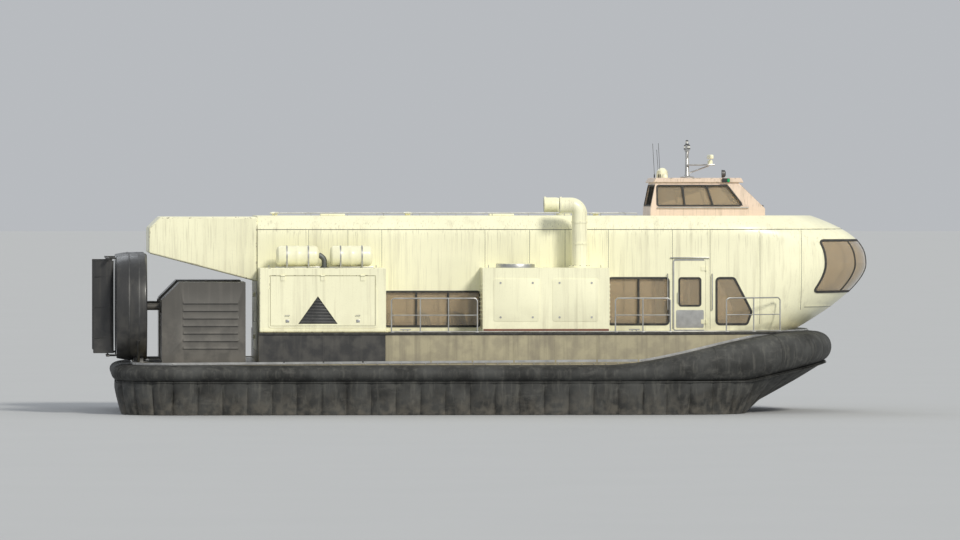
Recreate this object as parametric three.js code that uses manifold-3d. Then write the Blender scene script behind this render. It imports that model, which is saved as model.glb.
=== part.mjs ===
// Passenger hovercraft, 22 m long, standing parked on its landing skids.
// Millimetres. +X points to the bow, +Y to port, +Z up. The origin lies on the
// ground under the middle of the craft.
import * as THREE from "three";
import { mergeVertices } from "three/addons/utils/BufferGeometryUtils.js";
import Module from "manifold-3d";

const wasm = await Module();
wasm.setup();
const { lerp, smoothstep, degToRad } = THREE.MathUtils;

// Gap between faces that rest on each other, and between a door and its frame.
const SEAT = 0.3;
const DOOR_GAP = 8;

// Hinges: how far the pin stands off the wall, how far past the opening's edge,
// half the knuckle's length, and the strap's reach and thickness.
const HINGE = { off: 22, past: 4, half: 60, strap: 140, clear: 4, thick: 10 };

// Raft: the buoyant hull under everything.
const RAFT = {
  bow: 9300, // reach of the bow on the centre line
  stern: -9900,
  half: 4400, // half breadth
  bowStart: 4300, // where the sides begin to round towards the bow
  bowPower: 2.3,
  sternRound: 1100,
  bottom: 550,
  deck: 2300,
  lowDeck: 1450, // engine deck behind the cabin
  chamfer: 350,
  rakeFrom: 5600, // the bow's bottom rises from here
  rakeTo: 1400, // to this height at the tip
};

// Landing skids under the raft.
const SKID = { from: -7200, to: 5600, y: 2500, half: 170, toe: 420 };

// Skirt: a bag that hangs round the raft, and the fingers under it.
const SKIRT = {
  hem: 12, // height of the hem over the ground
  hemReach: 240, // how far the hem stands out from the raft
  bowRake: -2000, // the same at the bow, where the fingers rake back
  thick: 130,
  bagBottom: 900, // along the sides
  bagTopSide: 1390,
  bagTopBow: 2270,
  bulge: 600, // how far the bag stands out from the raft
  bowBulge: 90, // and how much more at the bow
  fingerPitch: 680,
  scallop: 80, // how far each finger swells between its neighbours
};

// Cabin: straight sides, a bluff rounded nose and a flat roof.
const CABIN = {
  aft: -6400,
  noseStart: 6300,
  nosePower: 2.3,
  half: 3000,
  wall: 60,
  wallTop: 5200,
  shoulder: 4900, // where the sides begin to lean in to the roof
  lean: 260,
  roof: 5550,
  roofThick: 120,
  floor: 1750, // the saloon floor is sunk into the raft
  wellHalf: 2880,
  wellFront: 6200,
};
const NOSE = { tip: 11000, tipHeight: 4150, foot: 8900, footPower: 1.6, brow: 9400, browPower: 2.6 };
const CABIN_HEIGHTS = [2300, 2600, 2900, 3200, 3500, 3850, 4200, 4600, 4900, 5050, 5200, 5330, 5440, 5510, 5550];

// Windows and doorways: from, to along the craft, sill and head.
const AFT_WINDOW = { from: -2850, to: -150, sill: 2450, head: 3420 };
const FORE_WINDOW = { from: 3450, to: 5150, sill: 2500, head: 3800 };
const DOORWAY = { from: 5300, to: 6200, sill: 2340, head: 4300 };
const DOOR_WINDOW = { from: 5450, to: 6050, sill: 3020, head: 3800 };
const NOSE_WINDOW = { half: 2300, sill: 3400, head: 4850 };
const QUARTER_WINDOW = { from: 6500, to: 7500, sill: 2500, head: 3800, rake: 500 };
const AFT_DOORWAY = { half: 400, sill: 1850, head: 3560 };
const GLASS = 12;

// Canopy that carries the roof line out over the engine deck.
const CANOPY = { end: -9450, half: 2960, top: 5520, lip: 4500, root: 3700, slopeBack: 330, slopeDown: 320 };

// Seats: two blocks with an aisle between them, each on one rail.
const SEATS = { first: -5500, pitch: 1000, rows: 10, aisle: 420, outer: 2700, rail: 60 };

// Wheelhouse on the roof, sunk through it to its own floor.
const WHEELHOUSE = {
  aft: 4750,
  front: 8000,
  half: 1500,
  wall: 50,
  floor: 4500,
  waist: 5750, // where its sides begin to lean in
  brow: 6480,
  browFront: 7250,
  lean: 110,
  aftLean: 150,
  sill: 5830,
  head: 6400,
  top: 6620,
};

// Mast with a cross-tree for lamps, and a radar on a shelf.
const MAST = { x: 5900, top: 7700, radius: 55, tree: 7400, treeHalf: 650, shelf: 660, radar: 7050, base: 240 };
const SCANNER = { half: 570, depth: 120, height: 130, pedestal: 75 };

// Deck housings: lift fan in front, engine behind it, drive casing at the stern.
const HOUSING = { inner: 3004, outer: 4300, top: 4100, wall: 50 };
const FAN_HOUSING = { from: -150, to: 3400 };
const ENGINE_HOUSING = { from: -6380, to: -2850 };
const ENGINE_DOORWAY = { from: -6080, to: -3150, sill: 2480, head: 3880 };
const VENT = { middle: -4750, half: 550, sill: 2540, peak: 3310 };
const ENGINE = { from: -5650, to: -3600, inner: 3230, outer: 4090, top: 3480 };
const CASING = { from: -9100, to: -6760, inner: 1750, outer: 4060, top: 3700, wall: 50, slope: 500 };
const LOUVRE = { count: 7, from: -8500, to: -6960, first: 1900, pitch: 210, proud: 35, height: 60 };
const FAN = { x: 800, y: 3650, radius: 440, intake: 480, rim: 60, top: 3960, depth: 590, blades: 10 };
const THRUSTER = { x: 2600, radius: 220, height: 5850, length: 560, flange: 90, wall: 35 };
const LIFERAFT = { first: -5300, pitch: 1500, half: 600, radius: 290, y: 3650, legs: 60 };

// Ducted propellers at the stern.
const DUCT = { y: 2750, z: 3000, front: -9500, back: -10350, outer: 1500, inner: 1370, hub: 170, vanes: 4 };
// The propellers rest with their blades turned away from the duct's vanes.
const PROP = { x: -9760, radius: 1335, hub: 190, behind: 170, nose: 200, blades: 4, rest: 18 };
const SHAFT = { radius: 95, clear: 6, flange: 170, flangeThick: 40 };
const RUDDER = { pivot: -10600, lead: 170, tail: 400, half: 1290, spread: 560, thick: 90, stock: 22, bearing: 45 };

// Rails along the deck's edge.
const RAIL = { inset: 60, top: 950, radius: 20, sides: 5, pitch: 800 };
const RAIL_RUNS = [
  { from: -2700, to: -300 },
  { from: 3560, to: 5100 },
  { from: 6700, to: 8300 },
];

const SIDES = [
  { name: "port", s: 1 },
  { name: "starboard", s: -1 },
];

const PAINT = {
  white: { color: 0xf3f0dc, roughness: 0.45, metalness: 0.1 },
  buff: { color: 0xe4d1ba, roughness: 0.5, metalness: 0.1 },
  sand: { color: 0xb5ad92, roughness: 0.55, metalness: 0.1 },
  rubber: { color: 0x2b2c2d, roughness: 0.85, metalness: 0 },
  grey: { color: 0x5f5e5a, roughness: 0.5, metalness: 0.4 },
  black: { color: 0x1e1f21, roughness: 0.6, metalness: 0.2 },
  glass: { color: 0x8f7d5c, roughness: 0.1, metalness: 0, transparent: true, opacity: 0.5 },
  metal: { color: 0x9aa0a3, roughness: 0.35, metalness: 0.8 },
  fabric: { color: 0x3c4a66, roughness: 0.9, metalness: 0 },
};

// Solids and meshes

function solid(geometry) {
  const bare = geometry.index ? geometry.toNonIndexed() : geometry.clone();
  bare.deleteAttribute("normal");
  bare.deleteAttribute("uv");
  const merged = mergeVertices(bare, 1e-3);
  return new wasm.Manifold(
    new wasm.Mesh({
      numProp: 3,
      vertProperties: new Float32Array(merged.attributes.position.array),
      triVerts: new Uint32Array(merged.index.array),
    }),
  );
}

function geometryOf(made) {
  const mesh = made.getMesh();
  const geometry = new THREE.BufferGeometry();
  geometry.setAttribute("position", new THREE.BufferAttribute(mesh.vertProperties, 3));
  geometry.setIndex(new THREE.BufferAttribute(mesh.triVerts, 1));
  return geometry;
}

const root = new THREE.Group();

function place(name, made, paint) {
  const geometry = geometryOf(made).toNonIndexed();
  geometry.computeVertexNormals();
  const mesh = new THREE.Mesh(geometry, new THREE.MeshStandardMaterial(PAINT[paint]));
  mesh.name = name;
  root.add(mesh);
}

const join = (parts) => parts.reduce((sum, part) => sum.add(part));

// Basic forms

// A block between two values along each axis, in either order.
function box(x0, x1, y0, y1, z0, z1) {
  const size = [x1 - x0, y1 - y0, z1 - z0].map(Math.abs);
  const geometry = new THREE.BoxGeometry(...size);
  geometry.translate((x0 + x1) / 2, (y0 + y1) / 2, (z0 + z1) / 2);
  return solid(geometry);
}

function extruded(points, depth) {
  const shape = new THREE.Shape(points.map(([u, v]) => new THREE.Vector2(u, v)));
  return new THREE.ExtrudeGeometry(shape, { depth, bevelEnabled: false });
}

// An outline of [x, z] points, extruded across the craft from y0 to y1.
function across(points, y0, y1) {
  const geometry = extruded(points, Math.abs(y1 - y0));
  geometry.rotateX(Math.PI / 2);
  geometry.translate(0, Math.max(y0, y1), 0);
  return solid(geometry);
}

// An outline of [y, z] points, extruded along the craft from x0 to x1.
function lengthwise(points, x0, x1) {
  const geometry = extruded(points, x1 - x0);
  geometry.rotateX(Math.PI / 2);
  geometry.rotateZ(Math.PI / 2);
  geometry.translate(x0, 0, 0);
  return solid(geometry);
}

// An outline of [x, y] points, extruded upwards from z0 to z1.
function upright(points, z0, z1) {
  const geometry = extruded(points, z1 - z0);
  geometry.translate(0, 0, z0);
  return solid(geometry);
}

// An upright cylinder from z0 to z1.
function post(x, y, z0, z1, radius, sides = 16) {
  const geometry = new THREE.CylinderGeometry(radius, radius, z1 - z0, sides);
  geometry.rotateX(Math.PI / 2);
  geometry.translate(x, y, (z0 + z1) / 2);
  return solid(geometry);
}

// A cylinder along the craft from x0 to x1.
function barrel(x0, x1, y, z, radius, sides = 24) {
  const geometry = new THREE.CylinderGeometry(radius, radius, Math.abs(x1 - x0), sides);
  geometry.rotateZ(Math.PI / 2);
  geometry.translate((x0 + x1) / 2, y, z);
  return solid(geometry);
}

// A body turned about a line along the craft, from [radius, x] points.
function turned(profile, sides) {
  const points = profile.map(([r, x]) => new THREE.Vector2(r, x));
  const geometry = new THREE.LatheGeometry(points, sides);
  geometry.rotateZ(-Math.PI / 2);
  return solid(geometry);
}

// A round bar through [x, y, z] points.
function bar(points, radius, sides) {
  const corners = points.map((p) => new THREE.Vector3(...p));
  const section = new THREE.Shape();
  for (let i = 0; i < sides; i++) {
    const angle = (i / sides) * 2 * Math.PI;
    const corner = [radius * Math.cos(angle), radius * Math.sin(angle)];
    if (i === 0) section.moveTo(...corner);
    else section.lineTo(...corner);
  }
  const path = corners.length === 2
    ? new THREE.LineCurve3(...corners)
    : new THREE.CatmullRomCurve3(corners);
  const steps = corners.length === 2 ? 1 : corners.length + 1;
  return solid(new THREE.ExtrudeGeometry(section, { extrudePath: path, steps }));
}

// A closed body through rings of [x, y, z] points with equal counts, capped at
// both ends by a fan round the middle of the end ring.
function loft(rings) {
  const count = rings[0].length;
  const positions = rings.flat(2);
  const faces = [];
  for (let r = 0; r < rings.length - 1; r++) {
    for (let i = 0; i < count; i++) {
      const a = r * count + i;
      const b = r * count + ((i + 1) % count);
      faces.push([a, b, b + count], [a, b + count, a + count]);
    }
  }
  const cap = (ring, offset, flip) => {
    const centre = positions.length / 3;
    for (const k of [0, 1, 2]) positions.push(ring.reduce((sum, p) => sum + p[k], 0) / count);
    for (let i = 0; i < count; i++) {
      const a = offset + i;
      const b = offset + ((i + 1) % count);
      faces.push(flip ? [centre, b, a] : [centre, a, b]);
    }
  };
  cap(rings[0], 0, true);
  cap(rings.at(-1), (rings.length - 1) * count, false);
  const geometry = new THREE.BufferGeometry();
  geometry.setAttribute("position", new THREE.Float32BufferAttribute(positions, 3));
  geometry.setIndex(faces.flat());
  const made = solid(geometry);
  if (made.volume() > 0) return made;
  geometry.setIndex(faces.map(([a, b, c]) => [a, c, b]).flat());
  return solid(geometry);
}

// A point of a superellipse, for the rounded bow and nose.
function superEllipse(angle, power) {
  const c = Math.cos(angle);
  const s = Math.sin(angle);
  return [Math.sign(c) * Math.abs(c) ** (2 / power), Math.sign(s) * Math.abs(s) ** (2 / power)];
}

// Half spaces, to cut bodies with.
const WIDE = 20000;
const above = (z) => box(-WIDE, WIDE, -WIDE, WIDE, z, WIDE);
const under = (z) => box(-WIDE, WIDE, -WIDE, WIDE, -WIDE, z);
const ahead = (x) => box(x, WIDE, -WIDE, WIDE, -WIDE, WIDE);
const behind = (x) => box(-WIDE, x, -WIDE, WIDE, -WIDE, WIDE);
const toSide = (s, y) => box(-WIDE, WIDE, s * y, s * WIDE, -WIDE, WIDE);

// Raft and skids

const BOW_STEPS = 17;
const CORNER_STEPS = 5;

// Half of the raft's edge from the stern's middle round to the bow's tip, port
// side: points with their outward direction.
function raftEdge() {
  const points = [{ x: RAFT.stern, y: 0, nx: -1, ny: 0 }];
  const cornerX = RAFT.stern + RAFT.sternRound;
  const cornerY = RAFT.half - RAFT.sternRound;
  for (let i = 0; i <= CORNER_STEPS; i++) {
    const angle = Math.PI - ((i / CORNER_STEPS) * Math.PI) / 2;
    const nx = Math.cos(angle);
    const ny = Math.sin(angle);
    points.push({ x: cornerX + RAFT.sternRound * nx, y: cornerY + RAFT.sternRound * ny, nx, ny });
  }
  const reach = RAFT.bow - RAFT.bowStart;
  for (let i = 0; i <= BOW_STEPS; i++) {
    const angle = ((1 - i / BOW_STEPS) * Math.PI) / 2;
    const [u, v] = superEllipse(angle, RAFT.bowPower);
    const gradientX = u ** (RAFT.bowPower - 1) / reach;
    const gradientY = v ** (RAFT.bowPower - 1) / RAFT.half;
    const size = Math.hypot(gradientX, gradientY);
    points.push({
      x: RAFT.bowStart + reach * u,
      y: RAFT.half * v,
      nx: gradientX / size,
      ny: gradientY / size,
    });
  }
  return points;
}

const EDGE = raftEdge();
const mirrored = (points) => points.map((p) => ({ ...p, y: -p.y, ny: -p.ny })).reverse();
const WHOLE_EDGE = [...EDGE, ...mirrored(EDGE.slice(1, -1))];

function raftRing(inset, z) {
  return WHOLE_EDGE.map((p) => [p.x - p.nx * inset, p.y - p.ny * inset, z]);
}

// Height of the bow's raked bottom at one place along the craft.
function rakeHeight(x) {
  return RAFT.bottom + ((x - RAFT.rakeFrom) / (RAFT.bow - RAFT.rakeFrom)) * (RAFT.rakeTo - RAFT.bottom);
}

function raftHull() {
  const body = loft([
    raftRing(RAFT.chamfer, RAFT.bottom),
    raftRing(0, RAFT.bottom + RAFT.chamfer),
    raftRing(0, RAFT.deck),
  ]);
  const beyond = RAFT.bow + 100;
  const rake = across(
    [
      [RAFT.rakeFrom, RAFT.bottom],
      [beyond, rakeHeight(beyond)],
      [beyond, 0],
      [RAFT.rakeFrom, 0],
    ],
    -RAFT.half - 100,
    RAFT.half + 100,
  );
  const engineDeck = behind(CABIN.aft).intersect(above(RAFT.lowDeck));
  const well = above(CABIN.floor)
    .intersect(behind(CABIN.wellFront))
    .intersect(toSide(1, -CABIN.wellHalf))
    .intersect(toSide(-1, -CABIN.wellHalf));
  return body.subtract(rake).subtract(engineDeck).subtract(well);
}
place("raft_hull", raftHull(), "sand");

for (const { name, s } of SIDES) {
  const top = RAFT.bottom - SEAT;
  const outline = [
    [SKID.from, top],
    [SKID.from + SKID.toe, 0],
    [SKID.to - SKID.toe, 0],
    [SKID.to, top],
  ];
  const y = s * SKID.y;
  place(`landing_skid_${name}`, across(outline, y - SKID.half, y + SKID.half), "metal");
}

// Skirt

// How far round to the bow's front a point of the edge is, from 0 to 1.
const towardsBow = (p) => smoothstep(p.nx, 0.25, 1);

const bagReach = (p) => SKIRT.bulge + SKIRT.bowBulge * towardsBow(p);

// The bag is level along the sides and rises to the bow.
const bagTop = (p) => lerp(SKIRT.bagTopSide, SKIRT.bagTopBow, smoothstep(p.x, 3200, 8800));
const bagBottom = (p) => Math.max(SKIRT.bagBottom, rakeHeight(p.x));

// The bag's section as [outward, height] points.
function bagSection(p) {
  const [top, bottom] = [bagTop(p), bagBottom(p)];
  const middle = (top + bottom) / 2;
  const half = (top - bottom) / 2;
  const steps = 6;
  const section = [[SEAT, top]];
  for (let i = 1; i < steps; i++) {
    const angle = Math.PI / 2 - (i / steps) * Math.PI;
    section.push([bagReach(p) * Math.cos(angle) ** 0.6, middle + half * Math.sin(angle)]);
  }
  section.push([bagReach(p) * 0.86, bottom]);
  section.push([SEAT, bottom]);
  return section;
}

// A finger's section: it hangs from the bag's bottom and leans in to the hem.
function fingerSection(p) {
  const swell = SKIRT.scallop * p.swell;
  const hem = lerp(SKIRT.hemReach, SKIRT.bowRake, towardsBow(p));
  const top = bagBottom(p) + 40;
  return [
    [SKIRT.thick, top],
    [bagReach(p) * 0.86 - SKIRT.scallop + swell, top],
    [hem + swell, SKIRT.hem],
    [hem - SKIRT.thick, SKIRT.hem],
  ];
}

// The edge cut into even steps, three to a finger, with each finger's swell.
function fingerStations(edge) {
  const at = (p) => [p.x + p.nx * SKIRT.bulge, p.y + p.ny * SKIRT.bulge];
  const reach = [0];
  for (let i = 1; i < edge.length; i++) {
    const [a, b] = [at(edge[i - 1]), at(edge[i])];
    reach.push(reach[i - 1] + Math.hypot(b[0] - a[0], b[1] - a[1]));
  }
  const fingers = Math.round(reach.at(-1) / SKIRT.fingerPitch);
  const swells = [0, 1, 1];
  const stations = [];
  for (let k = 0; k <= swells.length * fingers; k++) {
    const along = (k / (swells.length * fingers)) * reach.at(-1);
    const i = Math.min(edge.length - 2, Math.max(0, reach.findIndex((r) => r >= along) - 1));
    const share = (along - reach[i]) / (reach[i + 1] - reach[i]);
    const [a, b] = [edge[i], edge[i + 1]];
    const nx = lerp(a.nx, b.nx, share);
    const ny = lerp(a.ny, b.ny, share);
    const size = Math.hypot(nx, ny);
    stations.push({
      x: lerp(a.x, b.x, share),
      y: lerp(a.y, b.y, share),
      nx: nx / size,
      ny: ny / size,
      swell: swells[k % swells.length],
    });
  }
  return stations;
}

function sweep(stations, section) {
  return loft(stations.map((p) => section(p).map(([out, z]) => [p.x + p.nx * out, p.y + p.ny * out, z])));
}

const atStern = EDGE.filter((p) => p.x < RAFT.stern + RAFT.sternRound + 1);
const atBow = EDGE.filter((p) => p.x > RAFT.bowStart - 1);
const sideStart = (s) => ({ x: RAFT.stern + RAFT.sternRound + SEAT, y: s * RAFT.half, nx: 0, ny: s });
const sideRun = (s) => [sideStart(s), { ...sideStart(s), x: RAFT.bowStart - SEAT }];
const SKIRT_RUNS = [
  { name: "bow", edge: [...atBow, ...mirrored(atBow).slice(1)] },
  { name: "stern", edge: [...mirrored(atStern).slice(0, -1), ...atStern] },
  { name: "port", edge: sideRun(1) },
  { name: "starboard", edge: sideRun(-1) },
];

for (const { name, edge } of SKIRT_RUNS) {
  const fingers = sweep(fingerStations(edge), fingerSection);
  place(`skirt_${name}`, sweep(edge, bagSection).add(fingers), "rubber");
}

// Cabin

const NOSE_STEPS = 18;

// Reach of the nose at one height.
function noseReach(z) {
  if (z < NOSE.tipHeight) {
    const drop = (NOSE.tipHeight - z) / (NOSE.tipHeight - RAFT.deck);
    return NOSE.tip - (NOSE.tip - NOSE.foot) * drop ** NOSE.footPower;
  }
  const rise = (z - NOSE.tipHeight) / (CABIN.roof - NOSE.tipHeight);
  return NOSE.tip - (NOSE.tip - NOSE.brow) * rise ** NOSE.browPower;
}

// Half breadth of the cabin at one height.
function cabinHalf(z) {
  const rise = Math.max(0, (z - CABIN.shoulder) / (CABIN.roof - CABIN.shoulder));
  return CABIN.half - CABIN.lean * rise ** 2.5;
}

// The cabin's outline at one height, pulled in by an inset, at a level z.
function cabinRing(height, inset, z) {
  const half = cabinHalf(height) - inset;
  const reach = noseReach(height) - inset - CABIN.noseStart;
  const ring = [[CABIN.aft, -half, z]];
  for (let i = 0; i <= NOSE_STEPS; i++) {
    const angle = -Math.PI / 2 + (i / NOSE_STEPS) * Math.PI;
    const [u, v] = superEllipse(angle, CABIN.nosePower);
    ring.push([CABIN.noseStart + reach * Math.max(u, 0), half * v, z]);
  }
  ring.push([CABIN.aft, half, z]);
  return ring;
}

// The cabin's body pulled in by an inset all round but at its foot and aft end,
// with its foot lowered.
function cabinBody(inset, lower = 0) {
  const rings = CABIN_HEIGHTS.map((z) => cabinRing(z, inset, z === CABIN.roof ? z - inset : z));
  if (lower > 0) rings.unshift(cabinRing(RAFT.deck, inset, RAFT.deck - lower));
  return loft(rings.filter((ring, i) => i === rings.length - 1 || ring[0][2] < rings.at(-1)[0][2]));
}

const BEYOND = 300;
const cabinShell = cabinBody(0).subtract(cabinBody(CABIN.wall, BEYOND));
const standing = above(RAFT.deck + SEAT);

// A window or doorway as a block that reaches right through a side wall.
function sideCut(w, s) {
  return box(w.from, w.to, s * (CABIN.half - BEYOND), s * (CABIN.half + BEYOND), w.sill, w.head);
}

// The quarter windows in the nose have a raked front edge.
function quarterCut(s, shrink = 0) {
  const w = QUARTER_WINDOW;
  const outline = [
    [w.from + shrink, w.sill + shrink],
    [w.to - w.rake / 4 - shrink, w.sill + shrink],
    [w.to - shrink, w.sill + 350],
    [w.to - w.rake - shrink, w.head - shrink],
    [w.from + shrink, w.head - shrink],
  ];
  return across(outline, s * (CABIN.half / 2), s * (CABIN.half + BEYOND));
}

function noseCut(shrink = 0) {
  const w = NOSE_WINDOW;
  const y = w.half - shrink;
  return box(NOSE.foot, NOSE.tip + BEYOND, -y, y, w.sill + shrink, w.head - shrink);
}

const wallShell = cabinShell.intersect(under(CABIN.wallTop - SEAT / 2)).intersect(standing);
for (const { name, s } of SIDES) {
  const wall = wallShell
    .intersect(behind(CABIN.noseStart - SEAT / 2))
    .intersect(toSide(s, CABIN.half / 2))
    .subtract(sideCut(AFT_WINDOW, s))
    .subtract(sideCut(FORE_WINDOW, s))
    .subtract(sideCut(DOORWAY, s));
  place(`cabin_side_${name}`, wall, "white");
}

const nose = wallShell
  .intersect(ahead(CABIN.noseStart + SEAT / 2))
  .subtract(quarterCut(1))
  .subtract(quarterCut(-1))
  .subtract(noseCut());
place("cabin_nose", nose, "white");

const roofUnderside = CABIN.roof - CABIN.roofThick;
const roofHole = box(
  WHEELHOUSE.aft - SEAT,
  WHEELHOUSE.front + SEAT,
  -WHEELHOUSE.half - SEAT,
  WHEELHOUSE.half + SEAT,
  CABIN.wallTop,
  CABIN.roof + BEYOND,
);
const roof = cabinShell
  .add(cabinBody(CABIN.wall).intersect(above(roofUnderside)))
  .intersect(above(CABIN.wallTop + SEAT / 2))
  .subtract(roofHole);
place("cabin_roof", roof, "white");

// Aft bulkhead, from the saloon floor to the roof, with its doorway.
function aftBulkhead() {
  const inside = CABIN.aft + CABIN.wall;
  const low = CABIN.wellHalf - SEAT;
  const d = AFT_DOORWAY;
  return box(CABIN.aft, inside, -low, low, CABIN.floor + SEAT, RAFT.deck + 50)
    .add(
      cabinBody(CABIN.wall + SEAT)
        .intersect(behind(inside))
        .intersect(standing)
        .intersect(under(roofUnderside - SEAT)),
    )
    .subtract(box(CABIN.aft - BEYOND, inside + BEYOND, -d.half, d.half, d.sill, d.head));
}
place("aft_bulkhead", aftBulkhead(), "white");

place(
  "aft_canopy",
  across(
    [
      [CABIN.aft - SEAT, CANOPY.top],
      [CABIN.aft - SEAT, CANOPY.root],
      [CANOPY.end, CANOPY.lip],
      [CANOPY.end, CANOPY.top - CANOPY.slopeDown],
      [CANOPY.end + CANOPY.slopeBack, CANOPY.top],
    ],
    -CANOPY.half,
    CANOPY.half,
  ),
  "white",
);

// Doors

// Heights or lengths at which a door's hinges sit.
const hingePlaces = (from, to, shares) => shares.map((share) => lerp(from, to, share));

// Hinges of a door in a wall across Y: a knuckle that turns against the frame,
// and a strap that carries it to the leaf. s is the side that the pin lies on.
function sideHinge(edge, wallY, s, z) {
  const x = edge + HINGE.past;
  const y = s * (wallY + HINGE.off);
  const under1 = y - s * HINGE.clear;
  const low = z - HINGE.half;
  const high = z + HINGE.half;
  return join([
    post(x, y, low, high, HINGE.off - SEAT),
    box(x - HINGE.strap, x, under1, under1 - s * HINGE.thick, low, high),
    box(x - HINGE.strap, x - 20, under1, s * (wallY - 10), low, high),
  ]);
}

for (const { name, s } of SIDES) {
  const d = DOORWAY;
  const panel = box(
    d.from + DOOR_GAP,
    d.to - DOOR_GAP,
    s * (CABIN.half - CABIN.wall + 10),
    s * CABIN.half,
    d.sill + DOOR_GAP,
    d.head - DOOR_GAP,
  ).subtract(sideCut(DOOR_WINDOW, s));
  const hinges = hingePlaces(d.sill, d.head, [0.12, 0.88]).map((z) => sideHinge(d.to, CABIN.half, s, z));
  place(`cabin_door_${name}`, join([panel, ...hinges]), "white");
}

function aftDoor() {
  const d = AFT_DOORWAY;
  const leaf = box(
    CABIN.aft,
    CABIN.aft + 40,
    -d.half + DOOR_GAP,
    d.half - DOOR_GAP,
    d.sill + DOOR_GAP,
    d.head - DOOR_GAP,
  );
  const hinges = hingePlaces(d.sill, d.head, [0.15, 0.85]).map((z) => {
    const x = CABIN.aft - HINGE.off;
    const y = d.half + HINGE.past;
    const near = x + HINGE.clear;
    const low = z - HINGE.half;
    const high = z + HINGE.half;
    return join([
      post(x, y, low, high, HINGE.off - SEAT),
      box(near, near + HINGE.thick, y - HINGE.strap, y, low, high),
      box(near, CABIN.aft + 10, y - HINGE.strap, y - 20, low, high),
    ]);
  });
  return join([leaf, ...hinges]);
}
place("aft_door", aftDoor(), "white");

// Window glass: flat strips behind the side windows, curved panes in the nose.

const curvedGlass = cabinBody(0).subtract(cabinBody(GLASS, BEYOND));
for (const { name, s } of SIDES) {
  const face = s * (CABIN.half - CABIN.wall - SEAT);
  const margin = 70;
  const strip = box(
    AFT_WINDOW.from - margin,
    FORE_WINDOW.to + margin,
    face,
    face - s * GLASS,
    AFT_WINDOW.sill - margin,
    FORE_WINDOW.head + margin,
  );
  place(`side_glass_${name}`, strip, "glass");
  place(`quarter_glass_${name}`, curvedGlass.intersect(quarterCut(s, SEAT)), "glass");
}
place("nose_glass", curvedGlass.intersect(noseCut(SEAT)), "glass");

// Seats: each row is a cushion and a back over the block's rail.

function seatBlock(s) {
  const foot = CABIN.floor + SEAT;
  const last = SEATS.first + (SEATS.rows - 1) * SEATS.pitch;
  const outline = [
    [SEATS.first - 60, foot],
    [last + 520, foot],
  ];
  for (let i = SEATS.rows - 1; i >= 0; i--) {
    const x = SEATS.first + i * SEATS.pitch;
    outline.push(
      [x + 480, foot + SEATS.rail],
      [x + 520, foot + 440],
      [x + 110, foot + 420],
      [x - 60, foot + 1080],
      [x - 160, foot + 1060],
      [x, foot + SEATS.rail],
    );
  }
  return across(outline, s * SEATS.aisle, s * SEATS.outer);
}
for (const { name, s } of SIDES) {
  place(`seats_${name}`, seatBlock(s), "fabric");
}

// Wheelhouse

// The wheelhouse's body pulled in by an inset, with its faces carried up past
// the brow by as much as is asked for, so that a hollow can be cut through it.
function wheelhouseBody(inset, raise = 0) {
  const w = WHEELHOUSE;
  const top = w.brow + raise;
  const share = (top - w.waist) / (w.brow - w.waist);
  const profile = [
    [w.aft + inset, w.floor + inset],
    [w.front - inset, w.floor + inset],
    [w.front - inset, w.waist],
    [w.front - inset - (w.front - w.browFront) * share, top],
    [w.aft + inset + w.aftLean * share, top],
    [w.aft + inset, w.waist],
  ];
  const half = w.half - inset;
  const section = [
    [-half, w.floor],
    [half, w.floor],
    [half, w.waist],
    [half - w.lean * share, top],
    [-half + w.lean * share, top],
    [-half, w.waist],
  ];
  return across(profile, -w.half, w.half).intersect(lengthwise(section, w.aft, w.front));
}

// A level band right through the wheelhouse, between two heights.
function wheelhouseBand(sill, head) {
  return above(sill).intersect(under(head)).intersect(behind(WHEELHOUSE.front + BEYOND));
}

// Corner posts that the windows leave standing.
function cornerPosts(s) {
  const w = WHEELHOUSE;
  const y0 = s * (w.half - 230);
  const y1 = s * (w.half + 10);
  const screen = across(
    [
      [7480, 5700],
      [8100, 5700],
      [7400, 6600],
      [6780, 6600],
    ],
    y0,
    y1,
  );
  return box(w.aft - 100, w.aft + 190, y0, y1, w.waist, w.top).add(screen);
}

const opened = wheelhouseBand(WHEELHOUSE.sill, WHEELHOUSE.head)
  .subtract(cornerPosts(1))
  .subtract(cornerPosts(-1));
place(
  "wheelhouse_shell",
  wheelhouseBody(0).subtract(wheelhouseBody(WHEELHOUSE.wall, 100)).subtract(opened),
  "buff",
);
place(
  "wheelhouse_glass",
  wheelhouseBody(WHEELHOUSE.wall + SEAT)
    .subtract(wheelhouseBody(WHEELHOUSE.wall + SEAT + GLASS, 100))
    .intersect(wheelhouseBand(WHEELHOUSE.sill - 30, WHEELHOUSE.head + 30)),
  "glass",
);

const browHalf = WHEELHOUSE.half - WHEELHOUSE.lean + 60;
place(
  "wheelhouse_roof",
  across(
    [
      [WHEELHOUSE.aft + 60, WHEELHOUSE.brow + SEAT],
      [WHEELHOUSE.browFront + 150, WHEELHOUSE.brow + SEAT],
      [WHEELHOUSE.browFront + 80, WHEELHOUSE.top],
      [WHEELHOUSE.aft + 140, WHEELHOUSE.top],
    ],
    -browHalf,
    browHalf,
  ),
  "buff",
);

const bridgeFloor = WHEELHOUSE.floor + WHEELHOUSE.wall + SEAT;
place(
  "helm_console",
  across(
    [
      [7000, bridgeFloor],
      [7900, bridgeFloor],
      [7900, 5700],
      [7500, 5760],
      [7000, 5520],
    ],
    -1200,
    1200,
  ),
  "black",
);

// Two crew seats on one plinth.
function helmSeats() {
  const parts = [box(5600, 6500, -900, 900, bridgeFloor, bridgeFloor + 100)];
  for (const s of [1, -1]) {
    parts.push(box(5700, 6250, s * 250, s * 850, bridgeFloor + 90, bridgeFloor + 530));
    parts.push(box(5600, 5720, s * 250, s * 850, bridgeFloor + 90, bridgeFloor + 1190));
  }
  return join(parts);
}
place("helm_seats", helmSeats(), "fabric");

// Mast and radar

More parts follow.
